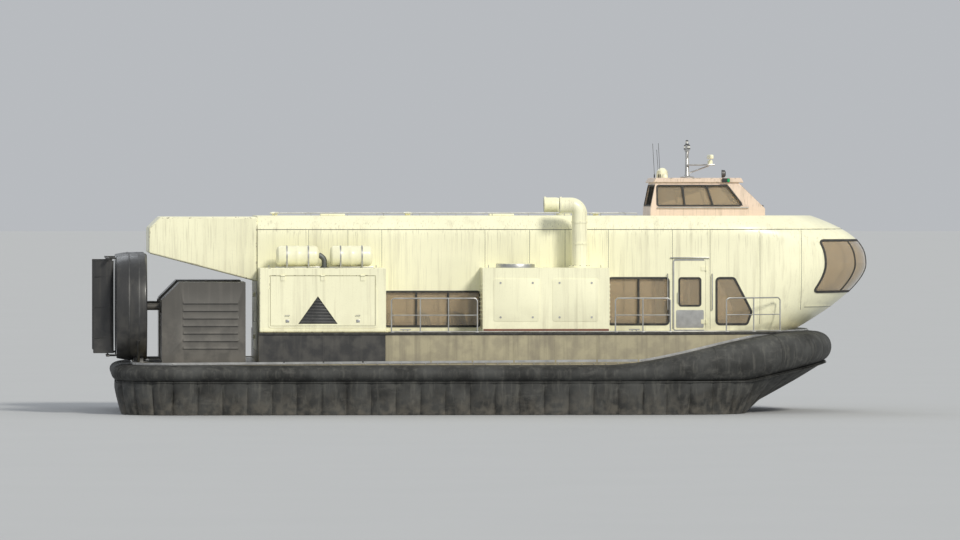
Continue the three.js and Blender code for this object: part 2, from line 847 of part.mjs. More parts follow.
const foot = WHEELHOUSE.top + SEAT;
const shelf = MAST.radar - 40;
const mast = join([
  post(MAST.x, 0, foot, MAST.top, MAST.radius, 10),
  box(MAST.x - MAST.base, MAST.x + MAST.base, -MAST.base, MAST.base, foot, foot + 50),
  box(MAST.x - 40, MAST.x + 40, -MAST.treeHalf, MAST.treeHalf, MAST.tree - 25, MAST.tree + 25),
  post(MAST.x, MAST.treeHalf - 60, MAST.tree, MAST.tree + 190, 50, 10),
  post(MAST.x, -MAST.treeHalf + 60, MAST.tree, MAST.tree + 190, 50, 10),
  box(MAST.x, MAST.x + MAST.shelf + 130, -130, 130, shelf - 50, shelf),
]);
place("mast", mast, "metal");

const scannerX = MAST.x + MAST.shelf;
const arm = SCANNER.depth / 2;
place(
  "radar_scanner",
  join([
    post(scannerX, 0, shelf + SEAT, shelf + 150, SCANNER.pedestal, 12),
    box(
      scannerX - arm,
      scannerX + arm,
      -SCANNER.half,
      SCANNER.half,
      shelf + 140,
      shelf + 140 + SCANNER.height,
    ),
  ]),
  "metal",
);

// Deck housings

const deck = RAFT.deck + SEAT;

// A box of sheet metal beside the cabin, open underneath.
function housing(run, s) {
  const h = HOUSING;
  const outer = box(run.from, run.to, s * h.inner, s * h.outer, deck, h.top);
  const hollow = box(
    run.from + h.wall,
    run.to - h.wall,
    s * (h.inner + h.wall),
    s * (h.outer - h.wall),
    deck - BEYOND,
    h.top - h.wall,
  );
  return outer.subtract(hollow);
}

function fanHousing(s) {
  const y = s * FAN.y;
  const rim = post(FAN.x, y, HOUSING.top - 20, HOUSING.top + 120, FAN.intake + FAN.rim, 24);
  const throat = post(FAN.x, y, HOUSING.top - BEYOND, HOUSING.top + BEYOND, FAN.intake, 24);
  return housing(FAN_HOUSING, s).add(rim).subtract(throat);
}

function engineHousing(s) {
  const d = ENGINE_DOORWAY;
  const inner = HOUSING.outer - 2 * HOUSING.wall;
  return housing(ENGINE_HOUSING, s).subtract(
    box(d.from, d.to, s * inner, s * (HOUSING.outer + BEYOND), d.sill, d.head),
  );
}

// The engine's door opens upwards and has a pointed vent.
function engineDoor(s) {
  const d = ENGINE_DOORWAY;
  const face = HOUSING.outer;
  const leaf = box(
    d.from + DOOR_GAP,
    d.to - DOOR_GAP,
    s * (face - 40),
    s * face,
    d.sill + DOOR_GAP,
    d.head - DOOR_GAP,
  );
  const vent = across(
    [
      [VENT.middle - VENT.half, VENT.sill],
      [VENT.middle + VENT.half, VENT.sill],
      [VENT.middle, VENT.peak],
    ],
    s * (face - BEYOND),
    s * (face + BEYOND),
  );
  const hinges = hingePlaces(d.from, d.to, [0.12, 0.5, 0.88]).map((x) => {
    const y = s * (face + HINGE.off);
    const z = d.head + HINGE.past;
    const near = y - s * HINGE.clear;
    const [x0, x1] = [x - HINGE.half, x + HINGE.half];
    return join([
      barrel(x0, x1, y, z, HINGE.off - SEAT, 16),
      box(x0, x1, near, near - s * HINGE.thick, z - HINGE.strap, z),
      box(x0, x1, near, s * (face - 10), z - HINGE.strap, z - 20),
    ]);
  });
  return join([leaf.subtract(vent), ...hinges]);
}

// The drive casing's profile pulled in by an inset, with an open foot.
function casingBody(s, inset) {
  const c = CASING;
  const base = inset > 0 ? RAFT.lowDeck - BEYOND : RAFT.lowDeck + SEAT;
  return across(
    [
      [c.from + inset, base],
      [c.to - inset, base],
      [c.to - inset, c.top - inset],
      [c.from + c.slope + inset / 2, c.top - inset],
      [c.from + inset, c.top - c.slope - inset / 2],
    ],
    s * (c.inner + inset),
    s * (c.outer - inset),
  );
}

// The fixed tube that carries the shaft from the casing to the propeller.
function shaftTube(s) {
  const y = s * DUCT.y;
  const start = CASING.from + CASING.wall / 2;
  const tip = PROP.x + PROP.nose + SHAFT.clear;
  return barrel(tip, start, y, DUCT.z, SHAFT.radius).add(
    barrel(CASING.from - SHAFT.flangeThick, start, y, DUCT.z, SHAFT.flange),
  );
}

function driveCasing(s) {
  const parts = [casingBody(s, 0).subtract(casingBody(s, CASING.wall))];
  const face = CASING.outer;
  for (let i = 0; i < LOUVRE.count; i++) {
    const z = LOUVRE.first + i * LOUVRE.pitch;
    const slat = [
      [s * (face - 20), z],
      [s * (face + LOUVRE.proud), z - LOUVRE.height],
      [s * (face + LOUVRE.proud), z - LOUVRE.height + 20],
      [s * (face - 20), z + LOUVRE.height],
    ];
    parts.push(lengthwise(s > 0 ? slat : slat.reverse(), LOUVRE.from, LOUVRE.to));
  }
  return join([...parts, shaftTube(s)]);
}

// Two life-raft canisters in one cradle on the engine housing.
function liferafts(s) {
  const r = LIFERAFT;
  const top = HOUSING.top + SEAT;
  const axis = top + r.legs + r.radius - 20;
  const profile = [
    [0, -r.half],
    [r.radius - 70, -r.half],
    [r.radius, -r.half + 80],
    [r.radius, r.half - 80],
    [r.radius - 70, r.half],
    [0, r.half],
  ];
  const parts = [];
  for (const x of [r.first, r.first + r.pitch]) {
    parts.push(turned(profile, 16).translate(x, s * r.y, axis));
    for (const leg of [-300, 300]) {
      parts.push(box(x + leg - 40, x + leg + 40, s * (r.y - 230), s * (r.y + 230), top, top + 140));
    }
  }
  const [x0, x1] = [r.first - 300, r.first + r.pitch + 300];
  parts.push(box(x0, x1, s * (r.y - 200), s * (r.y - 150), top, top + 50));
  return join(parts);
}

for (const { name, s } of SIDES) {
  place(`fan_housing_${name}`, fanHousing(s), "white");
  place(`engine_housing_${name}`, engineHousing(s), "white");
  place(`engine_door_${name}`, engineDoor(s), "white");
  const engine = box(ENGINE.from, ENGINE.to, s * ENGINE.inner, s * ENGINE.outer, deck, ENGINE.top);
  place(`engine_${name}`, engine, "metal");
  place(`drive_casing_${name}`, driveCasing(s), "grey");
  place(`liferafts_${name}`, liferafts(s), "white");
}

// Lift fans: a shaft, a back plate and straight blades under the intake.
function liftFan(s) {
  const floor = FAN.top - FAN.depth;
  const parts = [
    post(FAN.x, s * FAN.y, deck, FAN.top, 70, 12),
    post(FAN.x, s * FAN.y, floor - 40, floor, FAN.radius, 24),
  ];
  const length = FAN.radius - 40;
  for (let i = 0; i < FAN.blades; i++) {
    const blade = new THREE.BoxGeometry(length, 16, FAN.depth);
    blade.translate(length / 2 + 30, 0, FAN.top - FAN.depth / 2 - 10);
    blade.rotateZ((i / FAN.blades) * 2 * Math.PI);
    blade.translate(FAN.x, s * FAN.y, 0);
    parts.push(solid(blade));
  }
  return join(parts);
}

// Bow thrusters: an upright pipe that swivels, with a nozzle at its head.
function bowThruster(s) {
  const t = THRUSTER;
  const y = s * FAN.y;
  const top = HOUSING.top + SEAT;
  const behindPipe = t.radius * 0.4;
  return join([
    post(t.x, y, top, t.height + behindPipe, t.radius, 20),
    post(t.x, y, top, top + 60, t.radius + t.flange, 20),
    barrel(t.x - t.length, t.x + behindPipe, y, t.height, t.radius, 20),
  ]).subtract(barrel(t.x - t.length - 50, t.x - 120, y, t.height, t.radius - t.wall, 20));
}

for (const { name, s } of SIDES) {
  place(`lift_fan_${name}`, liftFan(s), "metal");
  place(`bow_thruster_${name}`, bowThruster(s), "white");
}

// Deck rails

// How far out the rail stands at one place along the craft.
function railY(x) {
  const u = Math.max(0, (x - RAFT.bowStart) / (RAFT.bow - RAFT.bowStart));
  return RAFT.half * (1 - u ** RAFT.bowPower) ** (1 / RAFT.bowPower) - RAIL.inset;
}

function railLine(from, to, s, z) {
  const steps = to > RAFT.bowStart + 1 ? 3 : 1;
  const points = [];
  for (let i = 0; i <= steps; i++) {
    const x = lerp(from, to, i / steps);
    points.push([x, s * railY(x), z]);
  }
  return bar(points, RAIL.radius, RAIL.sides);
}

// A low toe bar joins the runs past the housings.
function deckRail(s) {
  const toe = RAFT.deck + RAIL.radius + SEAT;
  const parts = [
    railLine(RAIL_RUNS[0].from, RAFT.bowStart, s, toe),
    railLine(RAFT.bowStart - RAIL.radius, RAIL_RUNS.at(-1).to, s, toe),
  ];
  for (const run of RAIL_RUNS) {
    const bays = Math.round((run.to - run.from) / RAIL.pitch);
    for (let i = 0; i <= bays; i++) {
      const x = lerp(run.from + RAIL.radius, run.to - RAIL.radius, i / bays);
      parts.push(post(x, s * railY(x), toe, RAFT.deck + RAIL.top, RAIL.radius, RAIL.sides));
    }
    parts.push(railLine(run.from, run.to, s, RAFT.deck + RAIL.top));
  }
  return join(parts);
}
for (const { name, s } of SIDES) {
  place(`deck_rail_${name}`, deckRail(s), "metal");
}

// Ducts, propellers and rudders

function ductRing() {
  const { front, back, outer, inner } = DUCT;
  return turned(
    [
      [inner, front - 120],
      [inner, back + 60],
      [inner + 35, back],
      [outer - 60, back],
      [outer, front - 110],
      [outer - 15, front - 40],
      [outer - 50, front],
      [inner + 45, front - 15],
      [inner + 10, front - 60],
      [inner, front - 120],
    ],
    40,
  );
}

// Vanes behind the propeller carry the hub inside the duct.
function ductVanes() {
  const length = DUCT.inner - 60;
  const vanes = [barrel(PROP.x - PROP.behind - SEAT, DUCT.back - 20, 0, 0, DUCT.hub, 16)];
  for (let i = 0; i < DUCT.vanes; i++) {
    const vane = new THREE.BoxGeometry(220, 36, length);
    vane.translate(DUCT.back + 190, 0, length / 2 + 90);
    vane.rotateX(((i + 0.5) / DUCT.vanes) * 2 * Math.PI);
    vanes.push(solid(vane));
  }
  return join(vanes);
}

// Bars over and under the duct's mouth hold the rudders.
function rudderBars() {
  const parts = [];
  for (const end of [1, -1]) {
    const z = end * (RUDDER.half + 70);
    parts.push(box(RUDDER.pivot - 60, RUDDER.pivot + 60, -900, 900, z - 25, z + 25));
    for (const y of [-330, 330]) {
      parts.push(box(RUDDER.pivot - 30, DUCT.back + 160, y - 30, y + 30, z - 25, z + 25));
    }
  }
  return join(parts);
}

// The foot carries the duct on the engine deck.
function ductFoot() {
  const base = RAFT.lowDeck + SEAT - DUCT.z;
  const block = box(-9880, -9600, -650, 650, base, 160 - DUCT.outer);
  return block.subtract(barrel(DUCT.front + 50, DUCT.back - 50, 0, 0, DUCT.outer - 30, 40));
}

// A propeller blade: radius, chord, thickness and pitch in degrees.
const BLADE = [
  { r: 120, chord: 200, thick: 90, pitch: 62 },
  { r: 420, chord: 300, thick: 60, pitch: 48 },
  { r: 850, chord: 320, thick: 36, pitch: 33 },
  { r: PROP.radius, chord: 220, thick: 18, pitch: 22 },
];

function propellerBlade() {
  const rings = BLADE.map(({ r, chord, thick, pitch }) => {
    const angle = degToRad(pitch);
    const section = [
      [chord / 2, 0],
      [chord / 6, thick / 2],
      [-chord / 2, 0],
      [chord / 6, -thick / 2],
    ];
    return section.map(([u, v]) => [
      u * Math.sin(angle) + v * Math.cos(angle),
      u * Math.cos(angle) - v * Math.sin(angle),
      r,
    ]);
  });
  return loft(rings);
}

function propeller() {
  const hub = turned(
    [
      [0, -PROP.behind],
      [PROP.hub, -PROP.behind],
      [PROP.hub, 60],
      [150, 150],
      [110, PROP.nose],
      [0, PROP.nose],
    ],
    20,
  );
  const blades = [];
  for (let i = 0; i < PROP.blades; i++) {
    blades.push(propellerBlade().rotate(PROP.rest + (i / PROP.blades) * 360, 0, 0));
  }
  return join([hub, ...blades]);
}

function rudder(y) {
  const { pivot, lead, tail, thick, half, stock, bearing } = RUDDER;
  const outline = [
    [pivot + lead, y],
    [pivot + lead * 0.6, y + thick * 0.45],
    [pivot, y + thick / 2],
    [pivot - tail, y],
    [pivot, y - thick / 2],
    [pivot + lead * 0.6, y - thick * 0.45],
  ];
  const end = half + bearing - SEAT;
  return upright(outline, DUCT.z - half, DUCT.z + half).add(
    post(pivot, y, DUCT.z - end, DUCT.z + end, stock, 10),
  );
}

const RUDDER_ROWS = [
  { row: "inner", offset: -1 },
  { row: "outer", offset: 1 },
];
for (const { name, s } of SIDES) {
  const y = s * DUCT.y;
  const duct = join([ductRing(), ductVanes(), rudderBars(), ductFoot()]);
  place(`duct_${name}`, duct.translate(0, y, DUCT.z), "black");
  place(`propeller_${name}`, propeller().translate(PROP.x, y, DUCT.z), "black");
  for (const { row, offset } of RUDDER_ROWS) {
    place(`rudder_${name}_${row}`, rudder(s * (DUCT.y + offset * RUDDER.spread)), "black");
  }
}

export default root;
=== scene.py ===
"""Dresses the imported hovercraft: skirt, cabin, wheelhouse, propulsion, deck gear and finishes.

Metres. +X points to the bow, +Y to port, +Z up, and the craft stands on z = 0.
"""
import math

import bmesh
import bpy
from mathutils import Matrix, Vector


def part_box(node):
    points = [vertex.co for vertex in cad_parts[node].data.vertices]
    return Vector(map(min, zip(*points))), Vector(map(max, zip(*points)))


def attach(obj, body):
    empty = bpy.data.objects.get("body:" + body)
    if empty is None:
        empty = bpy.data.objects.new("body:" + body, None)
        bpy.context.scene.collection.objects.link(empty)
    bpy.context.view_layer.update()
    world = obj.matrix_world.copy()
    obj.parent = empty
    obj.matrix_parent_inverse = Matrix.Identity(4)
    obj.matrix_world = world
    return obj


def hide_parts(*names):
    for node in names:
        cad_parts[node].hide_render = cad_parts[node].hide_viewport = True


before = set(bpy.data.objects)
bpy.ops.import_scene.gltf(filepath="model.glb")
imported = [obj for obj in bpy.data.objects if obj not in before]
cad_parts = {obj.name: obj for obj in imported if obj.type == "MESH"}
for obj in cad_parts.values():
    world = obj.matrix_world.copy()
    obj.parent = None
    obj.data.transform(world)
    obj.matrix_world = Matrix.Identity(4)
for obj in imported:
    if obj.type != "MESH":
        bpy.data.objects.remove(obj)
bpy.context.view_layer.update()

bl_info = {
    "name": "Passenger hovercraft",
    "version": (1, 0, 0),
    "blender": (4, 5, 0),
    "location": "View3D > Sidebar > Hovercraft",
    "description": "Builds the visible pieces of a parked passenger hovercraft round its packed model",
    "category": "Object",
}

SIDES = (("port", 1), ("starboard", -1))
UP = Vector((0, 0, 1))

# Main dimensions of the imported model.
BOW, STERN = 9.3, -9.9
RAFT_HALF = 4.4
BOW_START = 4.3
STERN_ROUND = 1.1
BOW_POWER = 2.3
DECK, LOW_DECK = 2.3, 1.45
RAKE_FROM, RAKE_FOOT, RAKE_TIP = 5.6, 0.55, 1.4

CABIN_AFT = -6.4
NOSE_START, NOSE_POWER = 6.3, 2.3
CABIN_HALF = 3.0
WALL = 0.06
WALL_TOP = 5.2
SHOULDER, SHOULDER_LEAN = 4.9, 0.26
ROOF = 5.55
NOSE_TIP, TIP_HEIGHT, NOSE_FOOT, NOSE_BROW = 11.0, 4.15, 8.9, 9.4

HOUSING_Y, HOUSING_FACE, HOUSING_TOP = 3.65, 4.3, 4.1
ENGINE_BED = DECK + 0.001
FAN_X = 0.8
THRUSTER_X, THRUSTER_Z, THRUSTER_RADIUS = 2.6, 5.85, 0.215
LIFERAFT_X, LIFERAFT_Z = (-5.3, -3.8), 4.4303

WHEELHOUSE_AFT, WHEELHOUSE_FRONT, WHEELHOUSE_HALF = 4.75, 8.0, 1.5
WAIST, BROW = 5.75, 6.48
SCREEN_FOOT, SCREEN_HEAD = 5.83, 6.4
WHEELHOUSE_TOP = 6.62
MAST_X = 5.9

DUCT_Y, DUCT_Z = 2.75, 3.0
PROPELLER_X = -9.76
RUDDER_X, RUDDER_HALF = -10.6, 1.28

# Half the gap between parts of the model that meet.
GAP = 0.0002
# Vertices nearer than this are one.
MERGE = 1e-5


def length_setting(name, description, default):
    """A setting in metres."""
    return bpy.props.FloatProperty(name=name, description=description, default=default, unit="LENGTH")


def colour_setting(name, description, default):
    """A setting that is a colour."""
    return bpy.props.FloatVectorProperty(
        name=name, description=description, subtype="COLOR", default=default
    )


class HovercraftSkirt(bpy.types.PropertyGroup):
    """Sizes of the skirt's cloth."""

    finger_pitch: length_setting("Finger pitch", "Width of one skirt finger", 0.68)
    scallop: length_setting("Scallop", "How far a finger swells between its seams", 0.08)
    hem: length_setting("Hem height", "Height of the hem over the floor", 0.012)


class HovercraftColours(bpy.types.PropertyGroup):
    """Colours of the painted and rubber surfaces."""

    hull_white: colour_setting("Hull white", "Cream white of the cabin", (0.93, 0.91, 0.66))
    wheelhouse_buff: colour_setting("Wheelhouse buff", "Pinkish buff of the wheelhouse", (0.80, 0.64, 0.52))
    # The raft's cream paint, darkened to beige: its half shade is painted into this colour.
    raft_sand: colour_setting("Raft sand", "Beige of the raft's side", (0.43, 0.385, 0.255))
    skirt_black: colour_setting("Skirt rubber", "Dark grey of the skirt", (0.040, 0.041, 0.040))
    window_tan: colour_setting("Window tint", "Bronze tint of the glass", (0.80, 0.66, 0.46))


class HovercraftView(bpy.types.PropertyGroup):
    """Where the camera stands."""

    azimuth: bpy.props.FloatProperty(
        name="Azimuth", description="Angle round the craft from the starboard beam, in degrees", default=-3.0
    )
    height: length_setting("Camera height", "Height of the lens over the floor", 6.2)
    distance: length_setting("Distance", "From the craft's middle to the lens", 235.0)
    lens: bpy.props.FloatProperty(name="Lens", description="Focal length in millimetres", default=310.0)


# Places and outlines


def frange(start, stop, count):
    """Even steps from start to stop."""
    return [start + (stop - start) * k / (count - 1) for k in range(count)]


def turns(count):
    """Even angles round a full circle."""
    return [2 * math.pi * k / count for k in range(count)]


def eased(value, low, high):
    """A smooth step from 0 at low to 1 at high."""
    share = min(1, max(0, (value - low) / (high - low)))
    return share * share * (3 - 2 * share)


def span(side, near, far):
    """Two distances from the middle as y values of one side, the lower first."""
    return sorted((side * near, side * far))


def at(x, y, z, degrees=0, axis="Y"):
    """The matrix of a place, turned about an axis that runs through it."""
    return Matrix.Translation((x, y, z)) @ Matrix.Rotation(math.radians(degrees), 4, axis)


def facing(point, out):
    """The matrix of a place whose Z points in a direction."""
    return Matrix.Translation(point) @ out.to_track_quat("Z", "Y").to_matrix().to_4x4()


def circle(place, radius, count, start=0.0):
    """Points round the Z axis of a placed matrix."""
    angles = [start + angle for angle in turns(count)]
    return [place @ Vector((radius * math.cos(a), radius * math.sin(a), 0)) for a in angles]


def oblong(low_u, low_v, high_u, high_v):
    """The four corners of an upright rectangle."""
    return [(low_u, low_v), (high_u, low_v), (high_u, high_v), (low_u, high_v)]


def rounded(corners, radius, steps=4):
    """An outline of two coordinates with its corners rounded."""
    points = []
    for i, corner in enumerate(corners):
        corner = Vector(corner)
        before = (Vector(corners[i - 1]) - corner).normalized()
        after = (Vector(corners[(i + 1) % len(corners)]) - corner).normalized()
        half = before.angle(after) / 2
        back = radius / math.tan(half)
        middle = corner + (before + after).normalized() * (radius / math.sin(half))
        start = (corner + before * back - middle).normalized()
        end = (corner + after * back - middle).normalized()
        for k in range(steps + 1):
            points.append(tuple(middle + start.slerp(end, k / steps) * radius))
    return points


def divided(outline, step):
    """Adds points to an outline so that none lie further apart than a step."""
    points = []
    for a, b in zip(outline, outline[1:] + outline[:1]):
        a, b = Vector(a), Vector(b)
        parts = max(1, math.ceil((b - a).length / step))
        points += [tuple(a.lerp(b, k / parts)) for k in range(parts)]
    return points


def wall_path(outline, side, y):
    """(x, z) points on a flat wall at a distance from the middle, with outward directions."""
    return [(Vector((x, side * y, z)), Vector((0, side, 0))) for x, z in outline]


def from_gap(path):
    """Turns a broken loop round so that it starts after its gap."""
    gaps = [(path[i][0] - path[i - 1][0]).length for i in range(len(path))]
    start = gaps.index(max(gaps))
    return path[start:] + path[:start]


# Bmesh work


def new_verts(result):
    """The vertices that a bmesh operator made."""
    return {item for item in result if isinstance(item, bmesh.types.BMVert)}


def merged(bm, verts):
    """Merges vertices in one place and returns those that are left."""
    bmesh.ops.remove_doubles(bm, verts=verts, dist=MERGE)
    return [vert for vert in verts if vert.is_valid]


def outward(bm, verts):
    """Points the faces of a closed body outwards, given its vertices."""
    faces = list({face for vert in verts for face in vert.link_faces})
    bmesh.ops.recalc_face_normals(bm, faces=faces)
    return verts


def loft(bm, rings, closed=True, caps=True):
    """Extrudes a row of vertices from ring to ring, each moved to its place."""
    row = [bm.verts.new(point) for point in rings[0]]
    pairs = list(zip(row, row[1:]))
    if closed:
        pairs.append((row[-1], row[0]))
    edges = first = [bm.edges.new(pair) for pair in pairs]
    made = set(row)
    for ring in rings[1:]:
        grown = bmesh.ops.extrude_edge_only(bm, edges=edges)["geom"]
        new = new_verts(grown)
        edges = [
            item
            for item in grown
            if isinstance(item, bmesh.types.BMEdge) and all(vert in new for vert in item.verts)
        ]
        row = [
            next(edge.other_vert(vert) for edge in vert.link_edges if edge.other_vert(vert) in new)
            for vert in row
        ]
        made.update(new)
        for vert, point in zip(row, ring):
            vert.co = point
    if caps:
        bmesh.ops.edgeloop_fill(bm, edges=first)
        bmesh.ops.edgeloop_fill(bm, edges=edges)
    return outward(bm, list(made))


def loop_loft(bm, rings):
    """A loft whose last ring closes on its first, as round a frame."""
    made = loft(bm, [*rings, rings[0]], caps=False)
    return outward(bm, merged(bm, made))


def lathe(bm, profile, steps, place):
    """Turns (radius, height) points about Z, then moves the body by a matrix."""
    verts = [bm.verts.new((radius, 0, height)) for radius, height in profile]
    edges = [bm.edges.new(pair) for pair in zip(verts, verts[1:])]
    spun = bmesh.ops.spin(
        bm,
        geom=verts + edges,
        cent=(0, 0, 0),
        axis=(0, 0, 1),
        angle=2 * math.pi,
        steps=steps,
        use_merge=True,
    )
    made = set(verts) | new_verts(spun["geom_last"])
    todo = list(made)
    while todo:
        for edge in todo.pop().link_edges:
            for vert in edge.verts:
                if vert not in made:
                    made.add(vert)
                    todo.append(vert)
    made = merged(bm, list(made))
    bmesh.ops.transform(bm, matrix=place, verts=made)
    return outward(bm, made)


def bevelled(bm, edges, width, segments=2):
    """Rounds edges and returns the vertices there."""
    return bmesh.ops.bevel(
        bm,
        geom=edges,
        offset=width,
        offset_type="OFFSET",
        segments=segments,
        profile=0.5,
        affect="EDGES",
        material=-1,
        clamp_overlap=True,
    )["verts"]


def block(bm, low, high, bevel=0.0, segments=2):
    """A block between two corners, with its edges rounded."""
    low, high = Vector(low), Vector(high)
    place = Matrix.Translation((low + high) / 2) @ Matrix.Diagonal((*map(abs, high - low), 1))
    verts = bmesh.ops.create_cube(bm, size=1, matrix=place)["verts"]
    if bevel > 0:
        verts = bevelled(bm, list({edge for vert in verts for edge in vert.link_edges}), bevel, segments)
    return verts


def hoop(bm, inner, outer, low, high, steps, place):
    """A flat band round the Z axis of a placed matrix."""
    lathe(bm, [*oblong(inner, low, outer, high), (inner, low)], steps, place)


def block_at(bm, place, low, high, bevel=0.0):
    """A block moved by a matrix."""
    bmesh.ops.transform(bm, matrix=place, verts=block(bm, low, high, bevel))


# Which of (u, v, thickness) gives x, y and z in a plate that is thick along an axis.
PLATE_ORDER = {"x": (2, 0, 1), "y": (0, 2, 1), "z": (0, 1, 2)}


def plate(bm, outline, low, high, axis, bevel=0.0):
    """A plate from an outline of two coordinates, thick along the axis named."""
    order = PLATE_ORDER[axis]
    verts = loft(bm, [[[(u, v, w)[k] for k in order] for u, v in outline] for w in (low, high)])
    if bevel > 0:
        edges = {edge for vert in verts for edge in vert.link_edges}
        bevelled(bm, [edge for edge in edges if edge.calc_face_angle(0) > math.radians(25)], bevel)


def stud(bm, place, radius, tip, depth, segments=6):
    """The head of a bolt, screw or rivet."""
    bmesh.ops.create_cone(
        bm, cap_ends=True, segments=segments, radius1=radius, radius2=tip, depth=depth, matrix=place
    )


def tube(bm, points, radius, sides=10, closed=False):
    """A round bar along points."""
    points = [Vector(point) for point in points]
    rings = []
    side = None
    for i, point in enumerate(points):
        before = points[i - 1] if i or closed else point
        after = points[(i + 1) % len(points)] if closed or i + 1 < len(points) else point
        along = (after - before).normalized()
        if side is None:
            side = along.orthogonal().normalized()
        side = (side - along * side.dot(along)).normalized()
        up = along.cross(side)
        rings.append([point + radius * (math.cos(a) * side + math.sin(a) * up) for a in turns(sides)])
    return loop_loft(bm, rings) if closed else loft(bm, rings)


def handle(bm, start, stop, out, radius, slant=0.0):
    """A bar that stands off a surface between two points of it."""
    start, stop, out = Vector(start), Vector(stop), Vector(out)
    inwards = (stop - start).normalized() * slant
    tube(bm, [start, start + out + inwards, stop + out - inwards, stop], radius)


def open_end(bm, direction, wall, depth):
    """Hollows out the end of a bar that faces a direction most."""
    direction = direction.normalized()
    bm.normal_update()
    ends = [face for face in bm.faces if len(face.verts) > 8]
    end = max(ends, key=lambda face: face.normal.dot(direction))
    out = end.normal.copy()
    bmesh.ops.inset_region(bm, faces=[end], thickness=wall)
    grown = bmesh.ops.extrude_face_region(bm, geom=[end])["geom"]
    bmesh.ops.translate(bm, verts=list(new_verts(grown)), vec=-out * depth)
    if end.is_valid:
        bmesh.ops.delete(bm, geom=[end], context="FACES_ONLY")


def strip(bm, path, width, rise, sink=0.004, closed=False, chamfer=0.25):
    """A flat moulding along (point, outward direction) pairs on a surface."""
    rings = []
    count = len(path)
    for i, (point, out) in enumerate(path):
        before = path[i - 1][0] if i or closed else point
        after = path[(i + 1) % count][0] if closed or i + 1 < count else point
        along = (after - before).normalized()
        out = (out - along * out.dot(along)).normalized()
        side = along.cross(out).normalized() * (width / 2)
        inner = side * (1 - chamfer * 2 * min(rise, width / 2) / width)
        rings.append(
            [
                point - side - out * sink,
                point - side + out * rise * (1 - chamfer),
                point - inner + out * rise,
                point + inner + out * rise,
                point + side + out * rise * (1 - chamfer),
                point + side - out * sink,
            ]
        )
    return loop_loft(bm, rings) if closed else loft(bm, rings)


def sliced(bm, point, direction, clear=False):
    """Cuts through a mesh at a plane, and clears what lies behind it where asked."""
    bmesh.ops.bisect_plane(
        bm,
        geom=bm.verts[:] + bm.edges[:] + bm.faces[:],
        plane_co=point,
        plane_no=direction,
        clear_inner=clear,
    )


def face_outwards(bm, middle):
    """Turns an open skin's faces away from a middle point."""
    total = sum(face.normal.dot(face.calc_center_median() - Vector(middle)) for face in bm.faces)
    if total < 0:
        bmesh.ops.reverse_faces(bm, faces=bm.faces)


def walled(bm, thickness):
    """Gives an open skin a wall on its inner side."""
    bm.normal_update()
    bmesh.ops.solidify(bm, geom=bm.faces[:], thickness=thickness)
    bmesh.ops.recalc_face_normals(bm, faces=bm.faces[:])


# Objects


def smooth(bm, limit=32):
    """Rounds the shading, and keeps edges crisp past an angle in degrees."""
    for face in bm.faces:
        face.smooth = True
    for edge in bm.edges:
        edge.smooth = edge.calc_face_angle(0) < math.radians(limit)


def placed_object(name, bm):
    """Puts a bmesh in the scene as an object."""
    obj = bpy.data.objects.new(name, bpy.data.meshes.new(name))
    bm.to_mesh(obj.data)
    bm.free()
    bpy.context.scene.collection.objects.link(obj)
    return obj


def piece(name, bm, finishes, body="craft", node=None, limit=32):
    """Makes a piece of the craft, with its finishes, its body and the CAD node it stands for."""
    smooth(bm, limit)
    obj = placed_object(name, bm)
    for finish_name in [finishes] if isinstance(finishes, str) else finishes:
        obj.data.materials.append(finish(finish_name))
    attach(obj, body)
    if node:
        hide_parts(node)
    return obj


def repaint(node, paint):
    """Gives a finish to a CAD piece that shows as it is."""
    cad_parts[node].material_slots[0].material = finish(paint)


def dressed_copy(node, paint, width, body="craft"):
    """A merged copy of a CAD piece with rounded edges, rubbed where its paint has such a finish."""
    bm = bmesh.new()
    bm.from_mesh(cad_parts[node].data)
    merged(bm, bm.verts[:])
    bmesh.ops.dissolve_limit(bm, angle_limit=math.radians(0.5), verts=bm.verts, edges=bm.edges)
    rubbed = f"{paint}_edge"
    finishes = (paint, rubbed) if rubbed in FINISHES else paint
    obj = piece(f"{node}_dressed", bm, finishes, body, node)
    bevel = obj.modifiers.new("edges", "BEVEL")
    bevel.width = width
    bevel.segments = 2
    bevel.limit_method = "ANGLE"
    bevel.angle_limit = math.radians(30)
    bevel.harden_normals = True
    bevel.material = 1 if rubbed in FINISHES else -1
    return obj


def carve(obj, cutters):
    """Cuts closed bodies out of an object, whose mesh is then replaced."""
    for body in cutters:
        cut = obj.modifiers.new("cut", "BOOLEAN")
        cut.operation = "DIFFERENCE"
        cut.solver = "EXACT"
        cut.object = body
    bpy.context.view_layer.update()
    made = bpy.data.meshes.new_from_object(obj.evaluated_get(bpy.context.evaluated_depsgraph_get()))
    obj.modifiers.clear()
    obj.data = made
    for body in cutters:
        bpy.data.objects.remove(body)
    bm = bmesh.new()
    bm.from_mesh(made)
    merged(bm, bm.verts[:])
    bmesh.ops.holes_fill(bm, edges=[edge for edge in bm.edges if edge.is_boundary], sides=8)
    smooth(bm)
    bm.to_mesh(made)
    bm.free()
    return obj


def plate_cutter(outline, low, high, axis):
    """A plate that is only there to be cut out of a piece."""
    bm = bmesh.new()
    plate(bm, outline, low, high, axis)
    return placed_object("cutter", bm)


def add_mesh(bm, mesh, place):
    """Adds a copy of a mesh at a place."""
    count = len(bm.verts)
    bm.from_mesh(mesh)
    bm.verts.ensure_lookup_table()
    bmesh.ops.transform(bm, matrix=place, verts=bm.verts[count:])


